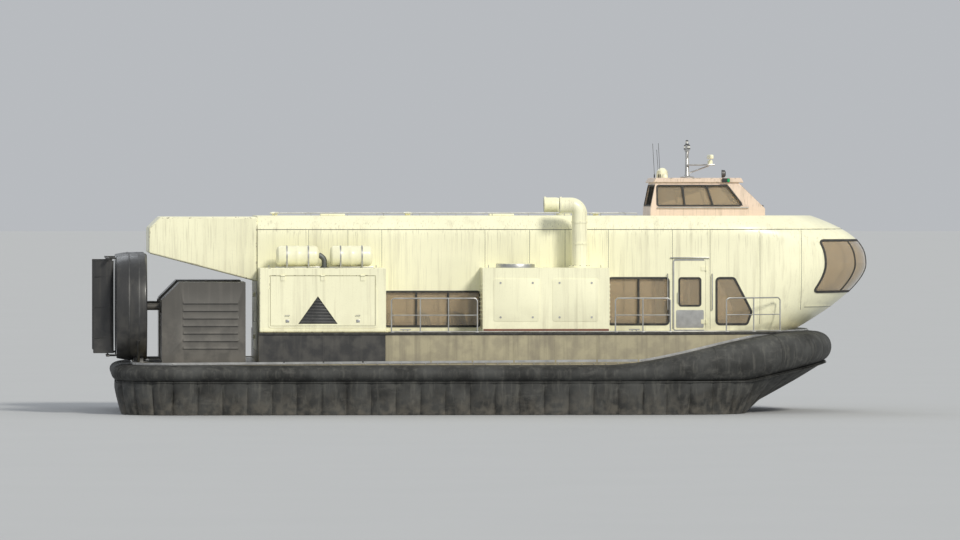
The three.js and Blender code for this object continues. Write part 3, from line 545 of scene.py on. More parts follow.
def puffed(name, size, most=0.018, cell=0.045, held_corner=0.03, steps=20):
    """A pad of the given size, blown up as cloth with its corners held and its swelling capped."""
    bm = bmesh.new()
    core = Vector(size) * 0.5 - Vector((0.012, 0.012, 0.012))
    block(bm, -core, core, 0.02, 2)
    for axis in range(3):
        across = [1 if k == axis else 0 for k in range(3)]
        for step in range(1, math.ceil(2 * core[axis] / cell)):
            place = -core[axis] + step * cell
            sliced(bm, [place * part for part in across], across)
    obj = placed_object(name, bm)
    mesh = obj.data
    held = obj.vertex_groups.new(name="held")
    rest = [vert.co.copy() for vert in mesh.vertices]
    corners = [i for i, co in enumerate(rest) if all(abs(co[k]) > core[k] - held_corner for k in range(3))]
    held.add(corners, 1.0, "REPLACE")
    cloth = obj.modifiers.new("cloth", "CLOTH")
    cloth.settings.use_pressure = True
    cloth.settings.uniform_pressure_force = 4
    cloth.settings.effector_weights.gravity = 0
    cloth.settings.vertex_group_mass = "held"
    for frame_number in range(1, steps + 1):
        bpy.context.scene.frame_set(frame_number)
    blown = obj.evaluated_get(bpy.context.evaluated_depsgraph_get()).data
    moved = [vert.co.copy() for vert in blown.vertices]
    for vert, before, after in zip(mesh.vertices, rest, moved):
        shift = after - before
        if shift.length > most:
            shift *= most / shift.length
        vert.co = before + shift
    bpy.data.objects.remove(obj)
    bpy.context.scene.frame_set(1)
    return mesh


# Finishes


class Nodes:
    """A material with short calls for its nodes."""

    def __init__(self, name):
        material = bpy.data.materials.new(name)
        material.use_nodes = True
        self.tree = material.node_tree
        self.shader = self.tree.nodes["Principled BSDF"]
        coordinates = self.add("ShaderNodeTexCoord")
        self.place = coordinates.outputs["Object"]
        self.normal = coordinates.outputs["Normal"]

    def put(self, socket, value):
        """Links a socket to an output, or sets its number, vector or colour."""
        if isinstance(value, bpy.types.NodeSocket):
            self.tree.links.new(value, socket)
        elif socket.type == "RGBA":
            socket.default_value = (*value, 1)
        else:
            socket.default_value = value

    def add(self, kind, inputs=(), **values):
        """A node with its values, and its (input, number or output) pairs."""
        node = self.tree.nodes.new(kind)
        for key, value in values.items():
            setattr(node, key, value)
        for key, value in inputs:
            self.put(node.inputs[key], value)
        return node

    def noise(self, scale, detail=3.0, stretch=(1, 1, 1), rough=0.5):
        """Noise in the object's own space, with its grain stretched where a factor is small."""
        mapping = self.add("ShaderNodeMapping", [("Vector", self.place), ("Scale", stretch)])
        inputs = [("Vector", mapping.outputs[0]), ("Scale", scale), ("Detail", detail), ("Roughness", rough)]
        return self.add("ShaderNodeTexNoise", inputs).outputs["Fac"]

    def ramp(self, source, *stops):
        """Grey shades or colours at (position, shade) stops."""
        node = self.add("ShaderNodeValToRGB", [("Fac", source)])
        ramp = node.color_ramp
        for i, (position, shade) in enumerate(stops):
            element = ramp.elements[i] if i < 2 else ramp.elements.new(position)
            element.position = position
            element.color = (*shade, 1) if isinstance(shade, tuple) else (shade, shade, shade, 1)
        return node.outputs["Color"]

    def product(self, first, second):
        return self.add("ShaderNodeMath", [(0, first), (1, second)], operation="MULTIPLY").outputs[0]

    def over(self, below, above, share, *shares):
        """One colour over another, as far as the product of the shares lets it cover."""
        for factor in shares:
            share = self.product(share, factor)
        # A Mix node's colours go in at 6 and 7 and come out at 2.
        return self.add("ShaderNodeMix", [(0, share), (6, below), (7, above)], data_type="RGBA").outputs[2]

    def height(self, low, high):
        """A value that goes from 0 to 1 between two heights."""
        split = self.add("ShaderNodeSeparateXYZ", [(0, self.place)])
        inputs = [("Value", split.outputs["Z"]), ("From Min", low), ("From Max", high)]
        return self.add("ShaderNodeMapRange", inputs).outputs["Result"]

    def upright(self):
        """A value that is 1 on walls and 0 on decks and roofs."""
        split = self.add("ShaderNodeSeparateXYZ", [(0, self.normal)])
        slope = self.add("ShaderNodeMath", [(0, split.outputs["Z"])], operation="ABSOLUTE")
        return self.ramp(slope.outputs[0], (0.45, 1.0), (0.85, 0.0))

    def bump(self, *heights):
        """Chains bumps given as (height, strength, distance)."""
        normal = None
        for source, strength, distance in heights:
            inputs = [("Height", source), ("Strength", strength), ("Distance", distance)]
            if normal:
                inputs.append(("Normal", normal))
            normal = self.add("ShaderNodeBump", inputs).outputs["Normal"]
        self.put(self.shader.inputs["Normal"], normal)

    def colour(self, source):
        self.put(self.shader.inputs["Base Color"], source)

    def roughness(self, source, low, high):
        self.put(self.shader.inputs["Roughness"], self.ramp(source, (0.25, low), (0.75, high)))

    def fixed(self, **values):
        for key, value in values.items():
            self.put(self.shader.inputs[key.replace("_", " ")], value)


def tint(colour):
    """A colour as it stands, or the scene's colour of that name."""
    if isinstance(colour, str):
        return tuple(getattr(bpy.context.scene.hovercraft_colours, colour))
    return colour


def shaded(colour, factor):
    return tuple(min(1, part * factor) for part in colour)


HULL_GRIME = (0.30, 0.26, 0.19)
DARK_GRIME = (0.09, 0.085, 0.075)
PRIMER = (0.28, 0.25, 0.20)
ALUMINIUM = (0.30, 0.30, 0.29)


def weathered_paint(nodes, colour, grime=HULL_GRIME, amount=0.24):
    """Marine paint with faded patches, rain streaks and a salt film near the deck."""
    colour = tint(colour)
    upright = nodes.upright()
    patches = nodes.ramp(nodes.noise(0.55, 4), (0.36, shaded(colour, 0.95)), (0.62, shaded(colour, 1.03)))
    streaks = nodes.ramp(nodes.noise(5.5, 5, (1, 1, 0.05), 0.6), (0.51, 0.0), (0.68, 1.0))
    less_on_roofs = nodes.ramp(upright, (0.0, 0.35), (1.0, 1.0))
    streaked = nodes.over(patches, grime, streaks, less_on_roofs, amount)
    runs = nodes.ramp(nodes.noise(26, 3, (1, 1, 0.035), 0.5), (0.56, 0.0), (0.68, 1.0))
    fall = nodes.product(nodes.ramp(nodes.height(3.0, 5.25), (0.15, 0.15), (0.9, 1.0)), upright)
    run_down = nodes.over(streaked, shaded(grime, 0.7), runs, fall, 1.2 * amount)
    near_deck = nodes.ramp(nodes.height(2.25, 3.1), (0.0, 1.0), (1.0, 0.0))
    spray = nodes.product(near_deck, nodes.ramp(nodes.noise(3.1, 6), (0.42, 0.1), (0.62, 1.0)))
    salted = nodes.over(run_down, shaded(grime, 1.4), spray, amount)
    specks = nodes.ramp(nodes.noise(38, 2), (0.61, 0.0), (0.67, 1.0))
    nodes.colour(nodes.over(salted, grime, specks, 0.35 * amount))
    nodes.roughness(nodes.noise(2.4, 5), 0.30, 0.52)
    nodes.bump((nodes.noise(1.6, 2), 0.12, 0.02), (nodes.noise(160, 2), 0.05, 0.001))
    nodes.fixed(Coat_Weight=0.25, Coat_Roughness=0.18)


def rubbed_paint(nodes, colour, under):
    """Paint on an edge, rubbed through to what lies under it in places."""
    colour = tint(colour)
    dulled = nodes.ramp(nodes.noise(1.8, 5), (0.36, shaded(colour, 0.82)), (0.62, shaded(colour, 1.0)))
    chips = nodes.ramp(nodes.noise(11, 8, rough=0.7), (0.55, 0.0), (0.60, 1.0))
    nodes.colour(nodes.over(dulled, under, chips, 0.8))
    nodes.roughness(nodes.noise(9, 5), 0.35, 0.65)
    nodes.bump((chips, 0.4, -0.001))


def skirt_rubber(nodes):
    """Rubber-coated cloth with scuffs, dried salt, mud at its foot and a fine weave."""
    colour = tint("skirt_black")
    base = nodes.ramp(nodes.noise(1.3, 6), (0.36, shaded(colour, 0.6)), (0.66, shaded(colour, 1.6)))
    runs = nodes.ramp(nodes.noise(7, 5, (1, 1, 0.12), 0.65), (0.5, 0.0), (0.68, 1.0))
    salt = nodes.over(base, (0.19, 0.185, 0.165), runs, 0.28)
    scuffs = nodes.ramp(nodes.noise(3.2, 8, (0.35, 0.35, 1), 0.75), (0.56, 0.0), (0.64, 1.0))
    scuffed = nodes.over(salt, (0.12, 0.118, 0.110), scuffs, 0.35)
    foot = nodes.ramp(nodes.height(0.0, 0.75), (0.0, 1.0), (1.0, 0.0))
    mud = nodes.product(foot, nodes.ramp(nodes.noise(4.5, 6), (0.40, 0.05), (0.64, 0.65)))
    nodes.colour(nodes.over(scuffed, (0.165, 0.150, 0.125), mud))
    nodes.roughness(nodes.noise(6, 4), 0.58, 0.86)
    inputs = [("Vector", nodes.place), ("Scale", 260), ("Randomness", 0.15)]
    weave = nodes.add("ShaderNodeTexVoronoi", inputs, distance="CHEBYCHEV")
    nodes.bump(
        (nodes.noise(2.2, 3, (1, 1, 0.5)), 0.5, 0.03),
        (nodes.noise(14, 4), 0.25, 0.006),
        (weave.outputs["Distance"], 0.12, 0.001),
    )
    nodes.fixed(Specular_IOR_Level=0.35)


def rubber(nodes):
    """Plain black rubber with a dusty bloom."""
    nodes.colour(nodes.ramp(nodes.noise(9, 5), (0.3, (0.018, 0.018, 0.018)), (0.8, (0.07, 0.068, 0.062))))
    nodes.roughness(nodes.noise(12, 3), 0.55, 0.8)
    nodes.bump((nodes.noise(90, 3), 0.15, 0.001))


def window_glass(nodes):
    """Bronze glass with a thin film of dried spray."""
    film = nodes.ramp(nodes.noise(2.2, 6, (1, 1, 0.5)), (0.42, 0.0), (0.8, 1.0))
    nodes.colour(nodes.over(tint("window_tan"), (0.86, 0.76, 0.58), film, 0.35))
    nodes.roughness(nodes.noise(5, 5), 0.04, 0.11)
    nodes.bump((nodes.noise(1.1, 1), 0.05, 0.01))
    nodes.fixed(Transmission_Weight=0.75, IOR=1.45, Coat_Weight=0.6, Coat_Roughness=0.07)


def bare_metal(nodes, colour=(0.55, 0.55, 0.54), low=0.28, high=0.5):
    """Metal brushed and dulled by salt."""
    dulled = nodes.ramp(nodes.noise(4, 6), (0.3, shaded(colour, 0.75)), (0.7, shaded(colour, 1.12)))
    pits = nodes.ramp(nodes.noise(60, 3), (0.62, 0.0), (0.72, 1.0))
    nodes.colour(nodes.over(dulled, (0.42, 0.41, 0.38), pits, 0.4))
    nodes.roughness(nodes.noise(9, 6, (1, 1, 5)), low, high)
    nodes.bump((nodes.noise(70, 3, (1, 1, 6)), 0.08, 0.001))
    nodes.fixed(Metallic=0.9)


def seat_fabric(nodes):
    """Woven upholstery in blue-grey with paler threads."""
    threads = [("Color1", (0.050, 0.075, 0.14)), ("Color2", (0.075, 0.105, 0.18))]
    weave = nodes.add("ShaderNodeTexChecker", [("Vector", nodes.place), ("Scale", 220), *threads])
    worn = nodes.ramp(nodes.noise(5, 4), (0.4, 0.0), (0.8, 1.0))
    nodes.colour(nodes.over(weave.outputs["Color"], (0.16, 0.18, 0.22), worn, 0.4))
    nodes.bump((weave.outputs["Fac"], 0.2, 0.001), (nodes.noise(16, 3), 0.2, 0.004))
    nodes.fixed(Roughness=0.9, Sheen_Weight=0.3)


def deck_mat(nodes):
    """Gritty non-slip deck covering, worn in patches."""
    worn = nodes.ramp(nodes.noise(2, 5), (0.35, (0.13, 0.13, 0.12)), (0.75, (0.24, 0.23, 0.21)))
    grit = nodes.ramp(nodes.noise(190, 2), (0.45, 0.0), (0.6, 1.0))
    nodes.colour(nodes.over(worn, (0.07, 0.07, 0.07), grit, 0.35))
    nodes.bump((nodes.noise(240, 2), 0.6, 0.002))
    nodes.fixed(Roughness=0.92)


def lens(nodes, colour, glow):
    """A lamp's coloured lens or a lit screen, finely ribbed."""
    nodes.colour(nodes.ramp(nodes.noise(20, 2), (0.3, shaded(colour, 0.8)), (0.7, colour)))
    nodes.bump((nodes.noise(140, 1, (1, 1, 0.05)), 0.3, 0.002))
    nodes.fixed(Roughness=0.12, Transmission_Weight=0.4, Emission_Color=colour, Emission_Strength=glow)


def floor_paint(nodes):
    """Even pale grey of the studio floor."""
    nodes.colour(nodes.ramp(nodes.noise(0.25, 4), (0.3, (0.472, 0.482, 0.492)), (0.7, (0.482, 0.492, 0.502))))
    nodes.fixed(Roughness=0.95)


GREY = (0.085, 0.080, 0.072)
BLACK = (0.028, 0.028, 0.029)

# Finish: the function that shades it, then that function's own values.
FINISHES = {
    "white_paint": (weathered_paint, "hull_white"),
    "white_paint_edge": (rubbed_paint, "hull_white", PRIMER),
    "glass_fibre": (weathered_paint, "hull_white", HULL_GRIME, 0.09),
    "wheelhouse_paint": (weathered_paint, "wheelhouse_buff"),
    "wheelhouse_paint_edge": (rubbed_paint, "wheelhouse_buff", PRIMER),
    # The raft's colour carries painted half shade.
    "raft_paint": (weathered_paint, "raft_sand", (0.15, 0.13, 0.10), 0.42),
    "grey_paint": (weathered_paint, GREY, (0.14, 0.13, 0.115), 0.4),
    "grey_paint_edge": (rubbed_paint, GREY, ALUMINIUM),
    # Black paint; on the raft's aft plating it also stands for painted shade.
    "black_paint": (weathered_paint, BLACK, DARK_GRIME, 0.4),
    "black_paint_edge": (rubbed_paint, BLACK, DARK_GRIME),
    "propeller_paint": (weathered_paint, (0.022, 0.022, 0.023), DARK_GRIME, 0.4),
    "tip_paint": (weathered_paint, (0.55, 0.50, 0.34), (0.2, 0.18, 0.14), 0.5),
    # Brown paint of the exhaust manifolds; it also gives the painted shade line at the fan housing's foot.
    "brown_paint": (weathered_paint, (0.23, 0.085, 0.05), (0.10, 0.07, 0.05), 0.5),
    "skirt_rubber": (skirt_rubber,),
    "rubber": (rubber,),
    "window_glass": (window_glass,),
    "bare_metal": (bare_metal,),
    "engine_iron": (bare_metal, (0.16, 0.17, 0.17), 0.45, 0.7),
    "dark_metal": (bare_metal, (0.12, 0.12, 0.12), 0.4, 0.65),
    "seat_fabric": (seat_fabric,),
    "deck_mat": (deck_mat,),
    "screen_glass": (lens, (0.03, 0.05, 0.06), 0.4),
    "red_lens": (lens, (0.7, 0.03, 0.02), 0.3),
    "green_lens": (lens, (0.02, 0.5, 0.16), 0.3),
    "clear_lens": (lens, (0.85, 0.85, 0.8), 0.2),
    "floor_paint": (floor_paint,),
}


def finish(name):
    """The finish of that name, made the first time that it is asked for."""
    full_name = f"{name}_finish"
    if full_name not in bpy.data.materials:
        shade, *values = FINISHES[name]
        shade(Nodes(full_name), *values)
    return bpy.data.materials[full_name]


# The craft's outlines


def raft_edge(corner_steps=12, bow_steps=48):
    """The raft's port edge from the stern's middle to the bow's tip, as (x, y, outward x, outward y)."""
    points = [(STERN, 0.0, -1.0, 0.0)]
    for i in range(corner_steps + 1):
        angle = math.pi - i / corner_steps * math.pi / 2
        c, s = math.cos(angle), math.sin(angle)
        points.append((STERN + STERN_ROUND * (1 + c), RAFT_HALF - STERN_ROUND * (1 - s), c, s))
    reach = BOW - BOW_START
    for i in range(bow_steps + 1):
        angle = (1 - i / bow_steps) * math.pi / 2
        u = max(0, math.cos(angle)) ** (2 / BOW_POWER)
        v = max(0, math.sin(angle)) ** (2 / BOW_POWER)
        out = Vector((u ** (BOW_POWER - 1) / reach, v ** (BOW_POWER - 1) / RAFT_HALF)).normalized()
        points.append((BOW_START + reach * u, RAFT_HALF * v, out.x, out.y))
    return points


EDGE = raft_edge()


def mirrored(edge):
    """The same edge on the other side, in the opposite order."""
    return [(x, -y, nx, -ny) for x, y, nx, ny in reversed(edge)]


def edge_path(start, side, inset, z, up=False):
    """Points on the raft's edge from a place to the bow, with outward or upward directions."""
    picked = [station for station in EDGE if station[0] >= start and station[1] > 0.01]
    if start < BOW_START:
        picked.insert(0, (start, RAFT_HALF, 0.0, 1.0))
    return [
        (Vector((x - nx * inset, side * (y - ny * inset), z)), UP if up else Vector((nx, side * ny, 0)))
        for x, y, nx, ny in picked
    ]


def nose_reach(z):
    """How far forward the nose stands at a height."""
    if z < TIP_HEIGHT:
        drop = (TIP_HEIGHT - z) / (TIP_HEIGHT - DECK)
        return NOSE_TIP - (NOSE_TIP - NOSE_FOOT) * drop**1.6
    rise = (z - TIP_HEIGHT) / (ROOF - TIP_HEIGHT)
    return NOSE_TIP - (NOSE_TIP - NOSE_BROW) * rise**2.6


def cabin_half(z):
    """Half the cabin's width at a height."""
    rise = max(0, (z - SHOULDER) / (ROOF - SHOULDER))
    return CABIN_HALF - SHOULDER_LEAN * rise**2.5


def on_side(x, z, side, inset=0.0):
    """The cabin's skin at a place along the craft and a height."""
    half = cabin_half(z) - inset
    if x <= NOSE_START:
        return Vector((x, side * half, z))
    u = min(1, (x - NOSE_START) / (nose_reach(z) - inset - NOSE_START))
    return Vector((x, side * half * (1 - u**NOSE_POWER) ** (1 / NOSE_POWER), z))


def on_nose(y, z, inset=0.0):
    """The nose's skin at a place across the craft and a height."""
    v = min(1, abs(y) / (cabin_half(z) - inset))
    reach = nose_reach(z) - inset - NOSE_START
    return Vector((NOSE_START + reach * (1 - v**NOSE_POWER) ** (1 / NOSE_POWER), y, z))


def with_normal(surface, a, b, outward_side, step=0.02):
    """A point of a surface of two coordinates with its outward direction."""
    normal = (surface(a + step, b) - surface(a - step, b)).cross(surface(a, b + step) - surface(a, b - step))
    normal.normalize()
    if normal.dot(outward_side) < 0:
        normal.negate()
    return surface(a, b), normal


def side_path(outline, side):
    """(x, z) points laid on the cabin's side, with outward directions."""
    return [with_normal(lambda x, z: on_side(x, z, side), x, z, Vector((0.3, side, 0))) for x, z in outline]


def nose_path(outline):
    """(y, z) points laid on the cabin's nose, with outward directions."""
    return [with_normal(on_nose, y, z, Vector((1, 0, 0))) for y, z in outline]


def cabin_ring(z, inset=0.0, nose_steps=44):
    """The cabin's outline at one height from the aft port corner round the nose."""
    half = cabin_half(z) - inset
    reach = nose_reach(z) - inset - NOSE_START
    ring = [Vector((CABIN_AFT, half, z))]
    for i in range(nose_steps + 1):
        angle = math.pi / 2 - i / nose_steps * math.pi
        c, s = max(0, math.cos(angle)), math.sin(angle)
        u = c ** (2 / NOSE_POWER)
        v = math.copysign(abs(s) ** (2 / NOSE_POWER), s)
        ring.append(Vector((NOSE_START + reach * u, half * v, z)))
    ring.append(Vector((CABIN_AFT, -half, z)))
    return ring


# Openings as (x, z) outlines on the sides, and the nose window as (y, z).
AFT_BAND = oblong(-2.85, 2.45, -0.15, 3.42)
FORE_BAND = oblong(3.45, 2.5, 5.15, 3.8)
DOORWAY = oblong(5.3, 2.34, 6.2, 4.3)
QUARTER = [(6.5, 2.5), (7.375, 2.5), (7.5, 2.85), (7.0, 3.8), (6.5, 3.8)]
NOSE_PANE = oblong(-2.3, 3.4, 2.3, 4.85)
# Radius of the windows' corners.
CORNER = 0.09
# Bars between the panes, as (x, foot, head) on the sides and y on the nose.
SIDE_BARS = ((-1.95, 2.45, 3.42), (-1.05, 2.45, 3.42), (4.3, 2.5, 3.8))
NOSE_BARS = (-1.5, -0.52, 0.52, 1.5)


# Building operators


class Build:
    """What every building operator shares."""

    bl_options = {"REGISTER", "UNDO"}


# Skirt

# How far the bag stands out from the raft at the sides, and by how much more at the bow.
SIDE_REACH, MORE_AT_BOW = 0.6, 0.09
# Height of the bag's top along the sides and at the bow, and the lowest that its bottom hangs.
BAG_TOP_SIDE, BAG_TOP_BOW, BAG_LOWEST = 1.39, 2.27, 0.9
# Where the hem stands out from the raft at the sides and at the bow.
HEM_SIDE, HEM_BOW = 0.24, -2.0
BATTEN_WIDTH, BOLT_PITCH = 0.07, 0.34


def to_bow(station):
    """How far the edge has turned to face the bow, from 0 to 1."""
    return eased(station[2], 0.25, 1)


def skirt_reach(station):
    """How far the bag stands out from the raft."""
    return SIDE_REACH + MORE_AT_BOW * to_bow(station)


def bag_top(station):
    """The height of the bag's top."""
    return BAG_TOP_SIDE + (BAG_TOP_BOW - BAG_TOP_SIDE) * eased(station[0], 3.2, 8.8)


def bag_bottom(station):
    """The height of the bag's bottom, which rises with the raft's rake."""
    rake = RAKE_FOOT + (station[0] - RAKE_FROM) / (BOW - RAKE_FROM) * (RAKE_TIP - RAKE_FOOT)
    return max(BAG_LOWEST, rake)


def bag_section(station, swell, steps=16):
    """From the raft over the bag's top and round to its bottom."""
    top, bottom = bag_top(station), bag_bottom(station)
    middle, half = (top + bottom) / 2, (top - bottom) / 2
    reach = skirt_reach(station) - 0.012 * (1 - swell)
    points = [(2 * GAP, top)]
    for i in range(1, steps):
        angle = math.pi / 2 - i / steps * math.pi * 0.93
        points.append((reach * math.cos(angle) ** 0.6, middle + half * math.sin(angle)))
    return points + [(reach * 0.80, bottom), (2 * GAP, bottom)]


def finger_section(skirt, station, swell, rows=8):
    """The finger's outer cloth from the bag down to the hem, and its inner side."""
    top = bag_bottom(station) + 0.04
    out = skirt_reach(station) * 0.86 - skirt.scallop
    hem = HEM_SIDE + (HEM_BOW - HEM_SIDE) * to_bow(station)
    points = [(0.14, top)]
    for i in range(rows + 1):
        share = i / rows
        depth = skirt.scallop * swell * (0.25 + 0.75 * min(1, share * 3))
        billow = 0.02 * math.sin(math.pi * share) * swell
        points.append((out + (hem - out) * share + depth + billow, top + (skirt.hem - top) * share))
    return points + [(hem - 0.13, skirt.hem)]


def edge_stations(edge, pitch, swells):
    """Even steps along the edge, as many to a pitch as there are swells."""
    rims = [Vector((x + nx * SIDE_REACH, y + ny * SIDE_REACH)) for x, y, nx, ny in edge]
    along = [0.0]
    for a, b in zip(rims, rims[1:]):
        along.append(along[-1] + (b - a).length)
    count = round(along[-1] / pitch) * len(swells)
    made = []
    i = 0
    for k in range(count + 1):
        target = k / count * along[-1]
        while i < len(edge) - 2 and along[i + 1] < target:
            i += 1
        share = (target - along[i]) / (along[i + 1] - along[i])
        x, y, *out = (a + (b - a) * share for a, b in zip(edge[i], edge[i + 1]))
        made.append(((x, y, *Vector(out).normalized()), swells[k % len(swells)]))
    return made


def at_station(station, section):
    """A section's (out, z) points at a station of the edge."""
    x, y, nx, ny = station
    return [Vector((x + nx * out, y + ny * out, z)) for out, z in section]


def skirt_length(skirt, name, edge, finger_steps=10, bag_steps=12):
    """The cloth of one length, then its seams and its batten."""
    arch = [math.sqrt(max(0, 1 - (2 * k / finger_steps - 1) ** 2)) for k in range(finger_steps)]
    panel = [math.sin(math.pi * k / bag_steps) ** 0.35 for k in range(bag_steps)]
    fingers = edge_stations(edge, skirt.finger_pitch, arch)
    bag = edge_stations(edge, skirt.finger_pitch * 3, panel)
    bm = bmesh.new()
    loft(bm, [at_station(place, finger_section(skirt, place, swell)) for place, swell in fingers])
    loft(bm, [at_station(place, bag_section(place, swell)) for place, swell in bag])
    piece(f"skirt_cloth_{name}", bm, "skirt_rubber", node=f"skirt_{name}", limit=50)
    bag_seams(name, [place for place, _ in bag[bag_steps:-1:bag_steps]])
    bag_batten(name, edge)


def bag_seams(name, joints):
    """Lapped seams round the bag, where there are any."""
    if not joints:
        return
    bm = bmesh.new()
    for station in joints:
        section = [(out - 0.010, z) for out, z in bag_section(station, 1)[1:-1]]
        points = at_station(station, section)
        path = [(point, Vector((*station[2:], (point.z - 1.2) * 0.5)).normalized()) for point in points]
        strip(bm, path, 0.07, 0.006)
    piece(f"skirt_seams_{name}", bm, "skirt_rubber")


def batten_place(station, out=0.0):
    """A point in the middle of the batten, with its outward direction."""
    height = bag_top(station) + BATTEN_WIDTH / 2
    return at_station(station, [(out, height)])[0], Vector((*station[2:], 0))


def bag_batten(name, edge):
    """The bolted batten that holds the bag's top."""
    bm = bmesh.new()
    strip(bm, [batten_place(station) for station in edge], BATTEN_WIDTH, 0.014)
    for station, _ in edge_stations(edge, BOLT_PITCH, [0]):
        stud(bm, facing(*batten_place(station, 0.018)), 0.016, 0.013, 0.014)
    piece(f"skirt_batten_{name}", bm, "bare_metal")


class HOVERCRAFT_OT_skirt(Build, bpy.types.Operator):
    """Inflated skirt bag with sewn fingers, in four lengths round the raft."""

    bl_idname = "hovercraft.skirt"
    bl_label = "Skirt"

    def execute(self, context):
        corner = STERN + STERN_ROUND
        at_stern = [station for station in EDGE if station[0] < corner + 0.001]
        at_bow = [station for station in EDGE if station[0] > BOW_START - 0.001]
        runs = {"bow": at_bow + mirrored(at_bow)[1:], "stern": mirrored(at_stern)[:-1] + at_stern}
        for name, side in SIDES:
            runs[name] = [(x, side * RAFT_HALF, 0, side) for x in (corner + 0.0003, BOW_START - 0.0003)]
        for name, edge in runs.items():
            skirt_length(context.scene.hovercraft_skirt, name, edge)
        return {"FINISHED"}


# Raft

# Where the beige paint, with its painted half shade, ends and the black begins; the black is painted shade
# with exhaust staining on the aft quarter.
PAINT_CHANGE = -2.86
PLATING_RISE = 0.012
# Matting on the side decks, from and to.
MATS = ((-2.75, -1.55), (-1.47, -0.25), (3.5, 4.35), (4.43, 5.25))
CLEATS = ((8.75, 0.75), (8.75, -0.75), (4.1, 4.17), (4.1, -4.17), (-2.3, 4.17), (-2.3, -4.17))


def side_plating(name, side):
    """Plates on the raft's side: black behind the paint change, painted shade with exhaust staining, and
    beige with painted half shade before it.
    """
    middle, width = (DECK + LOW_DECK) / 2 - 0.02, DECK - LOW_DECK - 0.02
    ends = [(CABIN_AFT, middle), (PAINT_CHANGE - 0.01, middle)]
    for part, paint, path in (
        ("fore", "raft_paint", edge_path(PAINT_CHANGE + 0.01, side, 0, middle)),
        # The aft plates' black stands for painted shade with exhaust staining.
        ("aft", "black_paint", wall_path(ends, side, RAFT_HALF)),
    ):
        bm = bmesh.new()
        strip(bm, path, width, PLATING_RISE, chamfer=0.1)
        piece(f"side_plating_{part}_{name}", bm, paint)


def deck_mouldings(name, side):
    """Rubber along the deck's edge, and welded ribs on the plating."""
    bm = bmesh.new()
    strip(bm, edge_path(CABIN_AFT, side, -PLATING_RISE, DECK - 0.035), 0.075, 0.035, chamfer=0.5)
    piece(f"deck_edge_{name}", bm, "rubber")
    # Ribs on the aft plates are black like those plates, painted shade with exhaust staining.
    for part, paint, places in (
        ("aft", "black_paint", frange(-5.7, -3.5, 3)),
        ("fore", "raft_paint", frange(-1.6, 4.2, 6)),
    ):
        bm = bmesh.new()
        for x in places:
            ends = [(x, LOW_DECK + 0.01), (x, DECK - 0.08)]
            strip(bm, wall_path(ends, side, RAFT_HALF + PLATING_RISE), 0.045, 0.006)
        piece(f"plating_seams_{part}_{name}", bm, paint)


def deck_matting(name, side):
    """Non-slip panels on the side decks, round the foredeck and on the aft deck."""
    bm = bmesh.new()
    for start, stop in MATS:
        block(bm, (start, side * 3.1, DECK - 0.002), (stop, side * 4.22, DECK + 0.005))
    strip(bm, edge_path(5.3, side, 0.5, DECK, up=True), 0.5, 0.006)
    block(bm, (-9.4, side * 0.1, LOW_DECK), (-6.9, side * 1.6, LOW_DECK + 0.006))
    piece(f"deck_matting_{name}", bm, "deck_mat")


def deck_cleats():
    """Mooring cleats along the deck's edge and at the bow."""
    bm = bmesh.new()
    for x, y in CLEATS:
        block(bm, (x - 0.13, y - 0.04, DECK), (x + 0.13, y + 0.04, DECK + 0.014), 0.005)
        for post in (x - 0.06, x + 0.06):
            tube(bm, [(post, y, DECK), (post, y, DECK + 0.07)], 0.018)
        tube(bm, [(x - 0.15, y, DECK + 0.075), (x + 0.15, y, DECK + 0.075)], 0.017)
    piece("deck_cleats", bm, "bare_metal")


class HOVERCRAFT_OT_raft(Build, bpy.types.Operator):
    """Plating, edge mouldings, deck matting, cleats and skids of the raft."""

    bl_idname = "hovercraft.raft"
    bl_label = "Raft"

    def execute(self, context):
        repaint("raft_hull", "raft_paint")
        for name, side in SIDES:
            dressed_copy(f"landing_skid_{name}", "bare_metal", 0.01)
            side_plating(name, side)
            deck_mouldings(name, side)
            deck_matting(name, side)
        deck_cleats()
        return {"FINISHED"}


# Cabin

# Upright laps on each side, as (x, foot).
LAPS = (
    (-5.0, 4.12), (-3.9, 4.12), (-2.95, 2.36), (-0.05, 2.36), (1.2, 4.12), (2.2, 4.12),
    (3.42, 2.36), (5.225, 2.36), (6.285, 2.36), (7.7, 2.5), (8.9, 2.9),
)
# Level laps on each side, as (height, where it ends).
BELTS = ((WALL_TOP, 10.0), (2.33, 8.6))
ROOF_LAPS = (-3.3, -1.3, 1.7, 3.8)
LAP_WIDTH, LAP_RISE = 0.06, 0.004
RIVET_PITCH = 0.18


def cabin_wall(name, node, slices, cutters):
    """The skin that lies before every slicing plane, as thick as its wall, with its openings."""
    bm = bmesh.new()
    heights = frange(DECK + 2 * GAP, WALL_TOP - GAP, 40)
    loft(bm, [cabin_ring(z) for z in heights], closed=False, caps=False)
    for point, direction in slices:
        sliced(bm, point, direction, clear=True)
    face_outwards(bm, (0, 0, 3.7))
    walled(bm, WALL)
    carve(piece(name, bm, "white_paint", node=node), cutters)


def cabin_opening(outline, side, radius=CORNER):
    """A cutter for an opening in one side."""
    return plate_cutter(rounded(outline, radius), *span(side, 1.5, 3.4), "y")


def cabin_nose():
    cutters = [plate_cutter(rounded(NOSE_PANE, CORNER), 8.2, 11.4, "x")]
    cutters += [cabin_opening(QUARTER, side) for _, side in SIDES]
    cabin_wall("nose_skin", "cabin_nose", [((NOSE_START + GAP, 0, 0), (1, 0, 0))], cutters)


def cabin_side(name, side):
    """The skin behind the nose on one side of the craft, with openings for its windows and its door."""
    slices = [((NOSE_START - GAP, 0, 0), (-1, 0, 0)), ((0, side * 0.5, 0), (0, side, 0))]
    cutters = [cabin_opening(outline, side) for outline in (AFT_BAND, FORE_BAND)]
    cutters.append(cabin_opening(DOORWAY, side, 0.05))
    cabin_wall(f"side_skin_{name}", f"cabin_side_{name}", slices, cutters)


